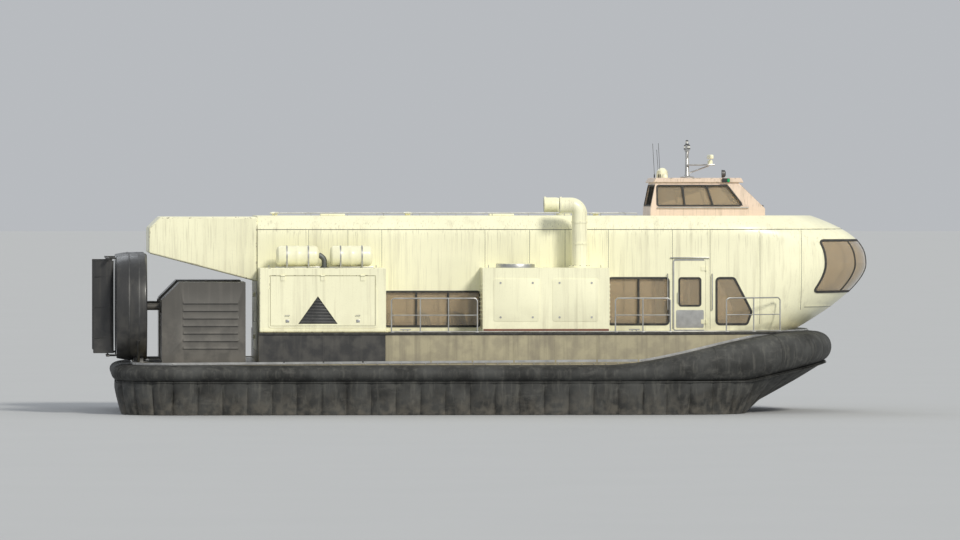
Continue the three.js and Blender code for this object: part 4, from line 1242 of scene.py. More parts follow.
def cabin_roof():
    """The rounded roof, hollow below, with a hole under the wheelhouse."""
    low = WALL_TOP + GAP
    rings = [cabin_ring(z) for z in (low, 5.27, 5.34, 5.40, 5.45, 5.49, 5.52, 5.54, ROOF)]
    bm = bmesh.new()
    loft(bm, [cabin_ring(5.43, WALL), cabin_ring(low, WALL), *rings])
    obj = piece("roof_skin", bm, "white_paint", node="cabin_roof", limit=25)
    half = WHEELHOUSE_HALF + 0.0003
    hole = oblong(WHEELHOUSE_AFT - 0.0003, -half, WHEELHOUSE_FRONT + 0.0003, half)
    carve(obj, [plate_cutter(hole, 5.0, 6.0, "z")])


def cabin_seams():
    """Lap joints between the cabin's plates, with a bead of sealant and rivets."""
    plates = bmesh.new()
    beads = bmesh.new()
    for _, side in SIDES:
        for x, foot in LAPS:
            heights = frange(foot, 5.18, 22)
            strip(plates, side_path([(x, z) for z in heights], side), LAP_WIDTH, LAP_RISE)
            strip(beads, side_path([(x + 0.034, z) for z in heights], side), 0.010, 0.004)
            for z in frange(foot + 0.08, 5.1, round((5.1 - foot) / RIVET_PITCH)):
                point, out = side_path([(x, z)], side)[0]
                stud(plates, facing(point + out * 0.006, out), 0.013, 0.006, 0.008)
        for z, end in BELTS:
            places = frange(CABIN_AFT, end, 60)
            strip(plates, side_path([(x, z) for x in places], side), LAP_WIDTH, 0.008)
            strip(beads, side_path([(x, z - 0.036) for x in places], side), 0.012, 0.006)
    for z in (3.0, WALL_TOP):
        places = frange(-2.2, 2.2, 40)
        strip(plates, nose_path([(y, z) for y in places]), 0.05, LAP_RISE)
        strip(beads, nose_path([(y, z - 0.03) for y in places]), 0.010, 0.004)
    for x in ROOF_LAPS:
        strip(plates, [(Vector((x, y, ROOF)), UP) for y in (-2.6, 2.6)], LAP_WIDTH, LAP_RISE)
        strip(beads, [(Vector((x + 0.034, y, ROOF)), UP) for y in (-2.6, 2.6)], 0.010, 0.004)
    piece("skin_seams", plates, "white_paint")
    piece("skin_sealant", beads, "rubber")


class HOVERCRAFT_OT_cabin(Build, bpy.types.Operator):
    """Smooth cabin skin in its real panels, with openings cut."""

    bl_idname = "hovercraft.cabin"
    bl_label = "Cabin"

    def execute(self, context):
        cabin_nose()
        cabin_roof()
        for name, side in SIDES:
            cabin_side(name, side)
        dressed_copy("aft_bulkhead", "white_paint", 0.008)
        dressed_copy("aft_canopy", "white_paint", 0.05)
        cabin_seams()
        return {"FINISHED"}


# Windows

# How thick glass is, and how far it stands back from the skin and from its opening.
GLASS, GLASS_BACK = 0.012, 0.004


def curved_pane(name, node, rows, middle_z):
    """Curved glass through rows of points."""
    bm = bmesh.new()
    loft(bm, rows, closed=False, caps=False)
    face_outwards(bm, (0, 0, middle_z))
    walled(bm, GLASS)
    return piece(name, bm, "window_glass", node=node)


def nose_glass():
    """The curved windscreen, its gasket and its bars."""
    (left, low), (right, high) = NOSE_PANE[0], NOSE_PANE[2]
    places = frange(left + GLASS_BACK, right - GLASS_BACK, 60)
    heights = frange(low + GLASS_BACK, high - GLASS_BACK, 24)
    rows = [[on_nose(y, z, GLASS_BACK) for y in places] for z in heights]
    curved_pane("nose_panes", "nose_glass", rows, 4)
    bm = bmesh.new()
    strip(bm, nose_path(divided(rounded(NOSE_PANE, CORNER), 0.12)), 0.07, 0.016, closed=True)
    for y in NOSE_BARS:
        strip(bm, nose_path([(y, z) for z in frange(low, high, 14)]), 0.055, 0.013, sink=0.01)
    piece("nose_gaskets", bm, "rubber")


def quarter_glass(name, side):
    """Glass on the nose's curve, cut to the window's outline."""
    places, heights = frange(6.504, 7.496, 16), frange(2.504, 3.796, 16)
    rows = [[on_side(x, z, side, GLASS_BACK) for x in places] for z in heights]
    obj = curved_pane(f"quarter_pane_{name}", f"quarter_glass_{name}", rows, 3)
    surround = plate_cutter(oblong(6.0, 2.0, 8.2, 4.3), *span(side, 1.0, 3.6), "y")
    shrunk = [(6.503, 2.503), (7.372, 2.503), (7.497, 2.85), (6.998, 3.797), (6.503, 3.797)]
    hole = plate_cutter(rounded(shrunk, CORNER), *span(side, 0.0, 4.6), "y")
    carve(obj, [carve(surround, [hole])])


def side_gaskets(name, side):
    """Gaskets round one side's windows, and the bars between their panes."""
    bm = bmesh.new()
    for outline in (AFT_BAND, FORE_BAND, QUARTER):
        path = side_path(divided(rounded(outline, CORNER), 0.15), side)
        strip(bm, path, 0.06, 0.014, closed=True)
    for x, foot, head in SIDE_BARS:
        strip(bm, side_path([(x, foot), (x, head)], side), 0.06, 0.011, sink=0.055)
    piece(f"side_gaskets_{name}", bm, "rubber")


class HOVERCRAFT_OT_windows(Build, bpy.types.Operator):
    """Glass, rubber gaskets and mullions of the cabin's windows."""

    bl_idname = "hovercraft.windows"
    bl_label = "Windows"

    def execute(self, context):
        nose_glass()
        for name, side in SIDES:
            quarter_glass(name, side)
            repaint(f"side_glass_{name}", "window_glass")
            side_gaskets(name, side)
        return {"FINISHED"}


# Doors

DOOR_PANE = oblong(5.45, 3.02, 6.05, 3.8)
KICK_PLATE = oblong(5.36, 2.4, 6.14, 2.9)
DOOR_EDGE = 0.006
# The engine door's triangular vent: its middle, foot, top and half width.
VENT_X, VENT_FOOT, VENT_TOP, VENT_HALF = -4.75, 2.54, 3.31, 0.55
SLATS, SLAT_PITCH = 9, 0.085


def cabin_door(name, side):
    """A leaf with its pane, gasket, kick plate and grip."""
    body = f"cabin_door_{name}_leaf"
    dressed_copy(f"cabin_door_{name}", "white_paint", DOOR_EDGE, body)
    bm = bmesh.new()
    block(bm, (5.44, side * 2.962, 3.01), (6.06, side * 2.974, 3.81))
    piece(f"cabin_door_pane_{name}", bm, "window_glass", body)
    bm = bmesh.new()
    strip(bm, wall_path(rounded(DOOR_PANE, 0.06), side, CABIN_HALF), 0.05, 0.012, closed=True)
    piece(f"cabin_door_gasket_{name}", bm, "rubber", body)
    bm = bmesh.new()
    plate(bm, rounded(KICK_PLATE, 0.04), *span(side, 2.998, 3.004), "y")
    y = side * CABIN_HALF
    handle(bm, (5.42, y, 3.1), (5.42, y, 3.4), (0, side * 0.05, 0), 0.012, 0.02)
    piece(f"cabin_door_kick_{name}", bm, "bare_metal", body)


def doorway_trim(name, side):
    """A frame open at the hinges, a hand bar on both sides and a drip rail above."""
    bm = bmesh.new()
    outline = divided(rounded(oblong(5.29, 2.33, 6.21, 4.31), 0.06), 0.4)
    path = wall_path([point for point in outline if point[0] < 6.16], side, CABIN_HALF)
    strip(bm, from_gap(path), 0.04, 0.012)
    y = side * CABIN_HALF
    for x in (5.12, 6.38):
        handle(bm, (x, y, 2.9), (x, y, 3.92), (0, side * 0.06, 0), 0.014, 0.02)
    block(bm, (5.2, side * 2.995, 4.36), (6.3, side * 3.05, 4.385), 0.004)
    piece(f"doorway_trim_{name}", bm, "bare_metal")


def engine_door(name, side):
    """A leaf with its slatted vent and two latches."""
    body = f"engine_door_{name}_leaf"
    dressed_copy(f"engine_door_{name}", "white_paint", DOOR_EDGE, body)
    bm = bmesh.new()
    for i in range(SLATS):
        z = VENT_FOOT + 0.03 + i * SLAT_PITCH
        half = VENT_HALF * (VENT_TOP - z - 0.02) / (VENT_TOP - VENT_FOOT)
        if half > 0.04:
            low = (VENT_X - half, side * 4.262, z)
            block(bm, low, (VENT_X + half, side * 4.294, z + 0.03), 0.004)
    plate(bm, [(-5.27, 2.55), (-4.23, 2.55), (VENT_X, 3.29)], *span(side, 4.258, 4.262), "y")
    piece(f"engine_vent_{name}", bm, "dark_metal", body)
    bm = bmesh.new()
    y = side * HOUSING_FACE
    for x in (-5.6, -3.63):
        block(bm, (x - 0.05, side * 4.298, 2.58), (x + 0.05, side * 4.315, 2.66), 0.005)
        handle(bm, (x - 0.06, y, 2.78), (x + 0.06, y, 2.78), (0, side * 0.04, 0), 0.009)
    piece(f"engine_door_latches_{name}", bm, "bare_metal", body)


class HOVERCRAFT_OT_doors(Build, bpy.types.Operator):
    """Cabin doors, aft door and engine doors with their fittings."""

    bl_idname = "hovercraft.doors"
    bl_label = "Doors"

    def execute(self, context):
        for name, side in SIDES:
            cabin_door(name, side)
            doorway_trim(name, side)
            engine_door(name, side)
        dressed_copy("aft_door", "white_paint", DOOR_EDGE, "aft_door_leaf")
        bm = bmesh.new()
        handle(bm, (CABIN_AFT, -0.3, 2.55), (CABIN_AFT, -0.3, 2.85), (-0.06, 0, 0), 0.012)
        piece("aft_door_handle", bm, "bare_metal", "aft_door_leaf")
        return {"FINISHED"}


# Wheelhouse

# How far each wall leans in from its waist to its brow.
AFT_LEAN, FRONT_LEAN, SIDE_LEAN = 0.15, 0.75, 0.11
# Bars of the side windows, as x at foot and head, and of the end windows as y.
SHELL_SIDE_BARS = ((5.72, 5.66), (6.52, 6.34))
SHELL_END_BARS = (-0.43, 0.43)
# Width of the posts at the corners.
POST = 0.23
SCREENS = (-0.9, -0.45, 0.0, 0.45, 0.9)
WHEELS = (-0.55, 0.55)
LEVERS = (-0.12, -0.04, 0.04, 0.12)
# Whip aerials, as (y, height).
AERIALS = ((-1.1, 0.98), (1.1, 0.98), (-0.45, 0.8))


def helm_controls():
    """Screens, wheels and levers on the console."""
    slope = at(7.25, 0, 5.645, -25.6)
    controls = bmesh.new()
    screens = bmesh.new()
    for y in SCREENS:
        block_at(controls, slope, (-0.17, y - 0.2, 0.0), (0.19, y + 0.2, 0.02), 0.008)
        block_at(screens, slope, (-0.14, y - 0.17, 0.018), (0.16, y + 0.17, 0.024), 0.002)
    for y in WHEELS:
        wheel = at(6.90, y, 5.50, -60)
        tube(controls, circle(wheel, 0.16, 32), 0.013, closed=True)
        for end in circle(wheel, 0.155, 3, 0.5):
            tube(controls, [wheel.translation, end], 0.009, 8)
        tube(controls, [wheel @ Vector((0, 0, 0.02)), (7.03, y, 5.42)], 0.022, 12)
    knob = [(0, -0.02), (0.015, -0.012), (0.018, 0), (0.015, 0.012), (0, 0.02)]
    for y in LEVERS:
        tube(controls, [(7.06, y, 5.53), (7.0, y, 5.66)], 0.008, 8)
        lathe(controls, knob, 12, at(6.995, y, 5.67))
    piece("helm_controls", controls, "dark_metal")
    piece("helm_screens", screens, "screen_glass")


def shell_point(x_share, side, z):
    """A point of the shell between its aft and front faces at a height."""
    share = max(0, (z - WAIST) / (BROW - WAIST))
    aft = WHEELHOUSE_AFT + AFT_LEAN * share
    front = WHEELHOUSE_FRONT - FRONT_LEAN * share
    return Vector((aft + (front - aft) * x_share, side * (WHEELHOUSE_HALF - SIDE_LEAN * share), z))


def on_shell_side(x, side, z):
    """A point of a side wall at a place along the craft."""
    return Vector((x, shell_point(0, side, z).y, z))


def on_shell_end(y, x_share, z):
    """A point of the front or aft wall at a place across the craft."""
    return Vector((shell_point(x_share, 1, z).x, y, z))


def framed_window(bm, surface, outline, bars, out):
    """A gasket round a window, and the bars between its panes as (foot, head)."""
    out = Vector(out).normalized()
    path = [(surface(u, z), out) for u, z in rounded(outline, 0.05)]
    strip(bm, path, 0.045, 0.012, closed=True)
    for foot, head in bars:
        ends = [surface(foot, SCREEN_FOOT), surface(head, SCREEN_HEAD)]
        strip(bm, [(end, out) for end in ends], 0.05, 0.010, sink=0.05)


def wheelhouse_frames():
    """Gaskets and bars of the side, front and aft windows."""
    bm = bmesh.new()
    outline = oblong(4.94, SCREEN_FOOT, 7.38, SCREEN_HEAD)
    outline[2] = (6.936, SCREEN_HEAD)
    for _, side in SIDES:
        framed_window(
            bm, lambda x, z: on_shell_side(x, side, z), outline, SHELL_SIDE_BARS, (0, side, 0.15)
        )
    half = WHEELHOUSE_HALF - POST
    outline = oblong(-half, SCREEN_FOOT, half, SCREEN_HEAD)
    bars = [(y, y) for y in SHELL_END_BARS]
    for x_share, out in ((1, (0.7, 0, 0.72)), (0, (-1, 0, 0.2))):
        framed_window(bm, lambda y, z: on_shell_end(y, x_share, z), outline, bars, out)
    piece("wheelhouse_frames", bm, "rubber")


def screen_wipers():
    """An arm, a blade and a motor box for each front pane."""
    bm = bmesh.new()
    for y in (-0.72, 0.0, 0.72):
        foot = shell_point(1, y / WHEELHOUSE_HALF, 5.8) + Vector((0.03, 0, 0.02))
        head = shell_point(1, (y + 0.3) / WHEELHOUSE_HALF, 6.22) + Vector((0.03, 0, 0.03))
        tube(bm, [foot, head], 0.010)
        tube(bm, [head - Vector((0, 0.02, 0.2)), head + Vector((-0.1, 0.02, 0.12))], 0.008)
        block(bm, foot - Vector((0.04, 0.05, 0.05)), foot + Vector((0.04, 0.05, 0.03)), 0.01)
    piece("screen_wipers", bm, "dark_metal")


def wheelhouse_rails():
    """A rail on stays along each side, under the windows."""
    bm = bmesh.new()
    z, near, far = 5.78, 0.99, 1.035
    for _, side in SIDES:
        tube(bm, [shell_point(share, side * far, z) for share in frange(0.06, 0.86, 12)], 0.016)
        for share in (0.06, 0.33, 0.6, 0.86):
            tube(bm, [shell_point(share, side * near, z), shell_point(share, side * far, z)], 0.012)
    piece("wheelhouse_grab_rails", bm, "bare_metal")


def wheelhouse_fittings():
    """Searchlight, aerial domes and whip aerials."""
    top = WHEELHOUSE_TOP
    bm = bmesh.new()
    lamp = [(0, 0.12), (0.06, 0.115), (0.1, 0.09), (0.11, 0.0), (0, 0)]
    lathe(bm, lamp, 32, at(6.95, 0.75, top + 0.12, 90))
    tube(bm, [(6.98, 0.75, top - 0.01), (6.98, 0.75, top + 0.05)], 0.03, 12)
    piece("searchlight", bm, "dark_metal")
    bm = bmesh.new()
    large = [(0, 0.19), (0.08, 0.17), (0.15, 0.1), (0.17, 0.0), (0.17, -0.1), (0, -0.1)]
    lathe(bm, large, 40, at(5.25, 0.8, top + 0.1))
    small = [(0, 0.12), (0.06, 0.1), (0.09, 0.04), (0.09, 0.0), (0, 0)]
    lathe(bm, small, 32, at(5.2, -0.8, top))
    piece("aerial_domes", bm, "glass_fibre")
    bm = bmesh.new()
    for y, height in AERIALS:
        tube(bm, [(5.05, y, top - 0.005), (5.05, y, top + 0.1)], 0.018)
        tube(bm, [(5.05, y, top + 0.1), (5.0, y, top + height)], 0.006, 6)
    piece("whip_aerials", bm, "rubber")


def sidelights():
    """A lamp and its screen at each end of the wheelhouse's brow."""
    lamp = [(0, -0.045), (0.035, -0.045), (0.035, 0.045), (0, 0.045)]
    for (name, side), glass in zip(SIDES, ("red_lens", "green_lens")):
        bm = bmesh.new()
        near, far = span(side, 1.42, 1.52)
        block(bm, (6.78, near, 6.49), (7.0, far, 6.61), 0.01)
        piece(f"sidelight_screen_{name}", bm, "black_paint")
        bm = bmesh.new()
        lathe(bm, lamp, 20, at(6.96, side * 1.505, 6.55))
        piece(f"sidelight_{name}", bm, glass)


class HOVERCRAFT_OT_wheelhouse(Build, bpy.types.Operator):
    """Wheelhouse shell, windows, roof fittings, console and crew seats."""

    bl_idname = "hovercraft.wheelhouse"
    bl_label = "Wheelhouse"

    def execute(self, context):
        dressed_copy("wheelhouse_shell", "wheelhouse_paint", 0.018)
        dressed_copy("wheelhouse_roof", "wheelhouse_paint", 0.03)
        dressed_copy("helm_console", "black_paint", 0.03)
        seats = dressed_copy("helm_seats", "seat_fabric", 0.05)
        seats.modifiers["edges"].segments = 4
        repaint("wheelhouse_glass", "window_glass")
        wheelhouse_frames()
        screen_wipers()
        wheelhouse_rails()
        helm_controls()
        wheelhouse_fittings()
        sidelights()
        return {"FINISHED"}


# Mast

# Lamps, as (y, z), at the ends of the crosstree and on the pole.
LAMPS = ((0.59, 7.43), (-0.59, 7.43), (0, 7.56))


def mast_pole():
    """A tapered pole with a braced crosstree and the scanner's bracket."""
    x = MAST_X
    bm = bmesh.new()
    foot, top = [(0, 0), (0.2, 0), (0.2, 0.03), (0.09, 0.05)], [(0.045, 1.0), (0.03, 1.06), (0, 1.065)]
    lathe(bm, [*foot, (0.06, 0.1), *top], 24, at(x, 0, WHEELHOUSE_TOP))
    tube(bm, [(x, -0.64, 7.4), (x, 0.64, 7.4)], 0.028, 14)
    for _, side in SIDES:
        tube(bm, [(x, side * 0.5, 7.39), (x, 0, 7.15)], 0.012, 8)
    block(bm, (x, -0.12, 6.965), (x + 0.79, 0.12, 7.01), 0.008)
    tube(bm, [(x + 0.03, 0, 6.75), (x + 0.62, 0, 6.96)], 0.02)
    piece("mast_pole", bm, "bare_metal", node="mast")


def mast_lamps():
    """Lamps with round lenses between their feet and caps."""
    body = [(0, 0), (0.05, 0), (0.05, 0.03), (0.04, 0.03)]
    body += [(0.04, 0.1), (0.05, 0.1), (0.03, 0.13), (0, 0.135)]
    glass = [(0, 0.032), (0.044, 0.032), (0.044, 0.098), (0, 0.098)]
    for part, profile, paint in (("bodies", body, "black_paint"), ("lenses", glass, "clear_lens")):
        bm = bmesh.new()
        for y, z in LAMPS:
            lathe(bm, profile, 20, at(MAST_X, y, z))
        piece(f"mast_lamp_{part}", bm, paint)


def radar_scanner():
    """The turning arm on its pedestal, as large as the CAD piece."""
    bm = bmesh.new()
    low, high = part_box("radar_scanner")
    x = (low.x + high.x) / 2
    lathe(bm, [(0, 0), (0.075, 0), (0.07, 0.09), (0.04, 0.12), (0, 0.12)], 28, at(x, 0, low.z))
    block(bm, (x - 0.055, low.y, high.z - 0.13), (x + 0.055, high.y, high.z), 0.04, 5)
    piece("scanner_arm", bm, "glass_fibre", "radar_rotor", "radar_scanner")


class HOVERCRAFT_OT_mast(Build, bpy.types.Operator):
    """Mast with lamps and the turning scanner."""

    bl_idname = "hovercraft.mast"
    bl_label = "Mast and radar"

    def execute(self, context):
        mast_pole()
        mast_lamps()
        radar_scanner()
        return {"FINISHED"}


# Deck housings

# Low and high corners of the engine's castings round its middle line, with their rounding.
CASTINGS = (
    ((-5.5, -0.36, ENGINE_BED), (-3.62, -0.26, 2.44), 0.01),
    ((-5.5, 0.26, ENGINE_BED), (-3.62, 0.36, 2.44), 0.01),
    ((-5.28, -0.34, 2.43), (-5.1, 0.34, 2.68), 0.01),
    ((-5.3, -0.22, 2.34), (-4.0, 0.22, 2.7), 0.05),
    ((-5.34, -0.30, 2.66), (-3.98, 0.30, 2.98), 0.03),
    ((-3.98, -0.34, 2.44), (-3.86, 0.34, 3.1), 0.04),
    ((-3.86, -0.2, 2.5), (-3.62, 0.2, 2.96), 0.05),
)
CYLINDERS = frange(-5.12, -4.17, 6)
BANKS = (1, -1)
# Hatches on the fan housing, as (start, stop), and their height.
HATCHES, HATCH_FOOT, HATCH_HEAD = ((0.15, 1.45), (1.8, 3.1)), 2.6, 3.8
# Mouldings at the housings' feet, as (housing, start, stop, finish); the fan housing's brown one is a dark
# line of painted shade along its foot.
HOUSING_FEET = (("engine", -6.36, -2.87, "white_paint"), ("fan", -0.13, 3.38, "brown_paint"))
FAN_BLADES = 12
LOUVRES = frange(2.65, 3.61, 9)


def engine_castings(name, y):
    """A vee engine on its bed, with cylinder heads and a belt pulley."""
    bm = bmesh.new()
    for low, high, rounding in CASTINGS:
        block(bm, (low[0], y + low[1], low[2]), (high[0], y + high[1], high[2]), rounding)
    for bank in BANKS:
        tilt = at(0, y + bank * 0.17, 3.02, -bank * 35, "X")
        for x in CYLINDERS:
            block_at(bm, tilt, (x - 0.085, -0.11, -0.08), (x + 0.085, 0.11, 0.12), 0.015)
            block_at(bm, tilt, (x - 0.07, -0.08, 0.115), (x + 0.07, 0.08, 0.17), 0.02)
    pulley = [(0, 0), (0.06, 0), (0.06, 0.04), (0.19, 0.04), (0.17, 0.06), (0.19, 0.08), (0, 0.08)]
    lathe(bm, pulley, 32, at(-5.34, y, 2.72, -90))
    piece(f"engine_castings_{name}", bm, "engine_iron", node=f"engine_{name}")


def engine_pipes(name, y):
    """Intake pipe with its air filter, the radiator, and the exhaust manifolds."""
    bm = bmesh.new()
    tube(bm, [(-5.2, y, 3.3), (-4.1, y, 3.3), (-3.95, y, 3.27), (-3.86, y, 3.2)], 0.065, 16)
    filter_can = [(0, 0), (0.13, 0), (0.15, 0.02), (0.15, 0.3), (0.12, 0.34), (0, 0.35)]
    lathe(bm, filter_can, 28, at(-3.8, y, 3.05))
    for bank in BANKS:
        for x in CYLINDERS:
            tube(bm, [(x, y + bank * 0.1, 3.14), (x, y + bank * 0.05, 3.22), (x, y, 3.3)], 0.028)
    block(bm, (-5.64, y - 0.4, ENGINE_BED), (-5.56, y + 0.4, 3.44), 0.01)
    for z in frange(2.5, 3.36, 14):
        block(bm, (-5.56, y - 0.36, z), (-5.545, y + 0.36, z + 0.02))
    piece(f"engine_intake_{name}", bm, "bare_metal")
    bm = bmesh.new()
    for bank in BANKS:
        far = y + bank * 0.37
        bend = [(-4.05, y + bank * 0.36, 3.0), (-4.0, y + bank * 0.3, 3.12)]
        tube(bm, [(-5.25, far, 2.93), (-4.2, far, 2.93), *bend], 0.045, 14)
        for x in CYLINDERS:
            tube(bm, [(x, y + bank * 0.22, 3.02), (x, far, 2.93)], 0.03)
    piece(f"engine_manifolds_{name}", bm, "brown_paint")


def exhaust_stub(name, y, x=-4.55):
    """The engine's exhaust stub between the canisters."""
    bend = ((0, -0.05), (0, 0.1), (0, 0.2), (-0.03, 0.27), (-0.10, 0.33), (-0.16, 0.36))
    bm = bmesh.new()
    tube(bm, [(x + back, y, HOUSING_TOP + rise) for back, rise in bend], 0.075, 28)
    open_end(bm, Vector((-1, 0, 0.4)), 0.012, 0.12)
    flange = [(0, 0), (0.14, 0), (0.14, 0.012), (0.085, 0.02), (0.085, 0.05), (0, 0.05)]
    lathe(bm, flange, 32, at(x, y, HOUSING_TOP - 0.002))
    piece(f"exhaust_{name}", bm, "engine_iron")


def housing_panels(name, side):
    """Hatches, the engine door's frame and the mouldings at the housings' feet, the fan housing's brown one
    being painted shade.
    """
    bm = bmesh.new()
    for start, stop in HATCHES:
        outline = rounded(oblong(start, HATCH_FOOT, stop, HATCH_HEAD), 0.08)
        plate(bm, outline, *span(side, HOUSING_FACE - 0.003, HOUSING_FACE + 0.009), "y", 0.003)
    outline = divided(rounded(oblong(-6.11, 2.45, -3.12, 3.91), 0.05), 0.4)
    path = wall_path([point for point in outline if point[1] < 3.86], side, HOUSING_FACE)
    strip(bm, from_gap(path), 0.05, 0.014)
    piece(f"housing_panels_{name}", bm, "white_paint")
    # The fan housing's brown moulding is a dark line of painted shade along its foot.
    for part, start, stop, paint in HOUSING_FEET:
        bm = bmesh.new()
        strip(bm, wall_path([(start, 2.36), (stop, 2.36)], side, HOUSING_FACE), 0.07, 0.012)
        piece(f"{part}_housing_foot_{name}", bm, paint)


def housing_fasteners(name, side):
    """Hatch clips, lifting eyes, and louvres at the fan housing's ends."""
    bm = bmesh.new()
    for x in (0.35, 1.25, 2.0, 2.9):
        for z in (2.72, 3.68):
            stud(bm, at(x, side * (HOUSING_FACE + 0.012), z, 90, "X"), 0.03, 0.03, 0.01, 12)
    for x in (-6.1, -3.1, 0.05, 3.2):
        eye = [
            (x, side * HOUSING_Y + 0.05 * math.cos(a), HOUSING_TOP - 0.01 + 0.08 * math.sin(a))
            for a in frange(0, math.pi, 9)
        ]
        tube(bm, eye, 0.011, 8)
    piece(f"housing_fasteners_{name}", bm, "bare_metal")
    bm = bmesh.new()
    near, far = span(side, 3.1, 4.2)
    for z in LOUVRES:
        for x in (3.395, -0.18):
            block(bm, (x, near, z), (x + 0.035, far, z + 0.03), 0.004)
    piece(f"housing_louvres_{name}", bm, "white_paint")


def fan_intake(name, y):
    """The ring and the guard over the lift fan."""
    bm = bmesh.new()
    inner = [(0.475, 4.05), (0.475, 4.14), (0.485, 4.19)]
    outer = [(0.53, 4.215), (0.545, 4.19), (0.545, 4.09)]
    lathe(bm, [*inner, (0.505, 4.22), *outer, inner[0]], 72, at(FAN_X, y, 0))
    piece(f"intake_ring_{name}", bm, "bare_metal")
    bm = bmesh.new()
    for radius in (0.12, 0.24, 0.36, 0.47):
        tube(bm, circle(at(FAN_X, y, 4.2), radius, 48), 0.005, 6, closed=True)
    above = at(FAN_X, y, 4.205)
    for ends in zip(circle(above, 0.1, 12), circle(above, 0.5, 12)):
        tube(bm, ends, 0.005, 6)
    piece(f"intake_guard_{name}", bm, "dark_metal")


def lift_fan(name, side, y):
    """A shaft with a hub and a back plate, swept blades and a shroud ring."""
    place = at(FAN_X, y, 0)
    bm = bmesh.new()
    shaft = [(0, ENGINE_BED), (0.07, ENGINE_BED), (0.07, 3.36), (0.43, 3.38), (0.43, 3.41)]
    hub = [(0.12, 3.43), (0.07, 3.6), (0.06, 3.9), (0.03, 3.95), (0, 3.955)]
    lathe(bm, shaft + hub, 48, place)
    lathe(bm, [(0.33, 3.93), (0.34, 3.95), (0.44, 3.9), (0.44, 3.885), (0.33, 3.93)], 48, place)
    for start in turns(FAN_BLADES):
        loft(bm, [fan_blade(place, start, side, z) for z in (3.39, 3.91)])
    body = f"lift_fan_{name}_rotor"
    piece(f"lift_fan_rotor_{name}", bm, "dark_metal", body, f"lift_fan_{name}")


def fan_blade(place, start, side, z, steps=7, half_thick=0.006):
    """A blade's outline at a height, out along one face and back along the other."""
    outline = []
    for thick in (half_thick, -half_thick):
        face = []
        for share in frange(0, 1, steps):
            angle = start + side * 0.75 * share**1.4
            out = Vector((math.cos(angle), math.sin(angle), 0))
            across = Vector((-out.y, out.x, 0))
            face.append(place @ (out * (0.12 + 0.31 * share) + across * thick + UP * z))
        outline += face if thick > 0 else face[::-1]
    return outline


def bow_thruster(name, y, bend=0.25):
    """A bow thruster's bent duct on its turntable, with bands, bolts and vanes."""
    body = f"bow_thruster_{name}_head"
    x, z = THRUSTER_X, THRUSTER_Z
    bm = bmesh.new()
    points = [(x, y, height) for height in (HOUSING_TOP + 0.005, 4.5, 5.2, z - bend)]
    for k in range(1, 10):
        a = k / 10 * math.pi / 2
        points.append((x - bend + bend * math.cos(a), y, z - bend + bend * math.sin(a)))
    points += [(x - back, y, z) for back in (bend, 0.45, 0.56)]
    tube(bm, points, THRUSTER_RADIUS, 40)
    open_end(bm, Vector((-1, 0, 0)), 0.03, 0.4)
    turntable = [(0, 0), (0.31, 0), (0.31, 0.045), (0.235, 0.06), (0, 0.06)]
    lathe(bm, turntable, 48, at(x, y, HOUSING_TOP + 0.0003))
    for height in (4.75, 5.35):
        hoop(bm, 0.2, 0.23, 0, 0.05, 48, at(x, y, height))
    hoop(bm, 0.2, 0.235, 0, 0.06, 48, at(x - 0.5, y, z, -90))
    piece(f"thruster_nozzle_{name}", bm, "white_paint", body, f"bow_thruster_{name}")
    bm = bmesh.new()
    for point in circle(at(x, y, HOUSING_TOP + 0.052), 0.27, 8):
        stud(bm, Matrix.Translation(point), 0.02, 0.018, 0.024)
    for offset in (-0.08, 0, 0.08):
        half = math.sqrt(0.18**2 - offset**2)
        block(bm, (x - 0.5, y + offset - 0.004, z - half), (x - 0.3, y + offset + 0.004, z + half))
    piece(f"thruster_vanes_{name}", bm, "dark_metal", body)


def liferafts(name, y):
    """Liferaft canisters, and the cradles, bands and rails that hold them."""
    end = [(0, 0.6), (0.16, 0.595), (0.22, 0.575), (0.27, 0.53), (0.287, 0.47)]
    rib = [(0.283, -0.05), (0.29, -0.03), (0.29, 0.03), (0.283, 0.05)]
    profile = [(radius, -along) for radius, along in end]
    for middle in (-0.32, 0.0, 0.32):
        profile += [(radius, middle + along) for radius, along in rib]
    profile += reversed(end)
    bm = bmesh.new()
    for x in LIFERAFT_X:
        lathe(bm, profile, 48, at(x, y, LIFERAFT_Z, 90))
    piece(f"liferaft_shells_{name}", bm, "glass_fibre", node=f"liferafts_{name}")
    bm = bmesh.new()
    cradle = [(-0.23, 0), (0.23, 0), (0.26, 0.2), (0.16, 0.1), (0, 0.07), (-0.16, 0.1), (-0.26, 0.2)]
    outline = [(y + u, HOUSING_TOP + v) for u, v in cradle]
    for x in LIFERAFT_X:
        for place in (x - 0.3, x + 0.3):
            hoop(bm, 0.286, 0.294, -0.02, 0.02, 40, at(place, y, LIFERAFT_Z, 90))
            plate(bm, outline, place - 0.02, place + 0.02, "x")
        for middle in (y - 0.15, y + 0.15):
            low = (x - 0.62, middle - 0.02, HOUSING_TOP)
            block(bm, low, (x + 0.62, middle + 0.02, HOUSING_TOP + 0.03), 0.004)
    piece(f"liferaft_cradles_{name}", bm, "bare_metal")


class HOVERCRAFT_OT_housings(Build, bpy.types.Operator):
    """Deck housings with lift fans, engines, drive casings and canisters."""

    bl_idname = "hovercraft.housings"
    bl_label = "Deck housings"

    def execute(self, context):
        for name, side in SIDES:
            dressed_copy(f"fan_housing_{name}", "white_paint", 0.035)
            dressed_copy(f"engine_housing_{name}", "white_paint", 0.03)
            dressed_copy(f"drive_casing_{name}", "grey_paint", 0.03)
            y = side * HOUSING_Y
            engine_castings(name, y)
            engine_pipes(name, y)
            housing_panels(name, side)
            housing_fasteners(name, side)
            fan_intake(name, y)
            lift_fan(name, side, y)
            bow_thruster(name, y)
            liferafts(name, y)
            exhaust_stub(name, y)
        return {"FINISHED"}


# Propulsion

BLADES = 4
# Turn of the first blade at rest, in degrees.
REST_TURN = 18
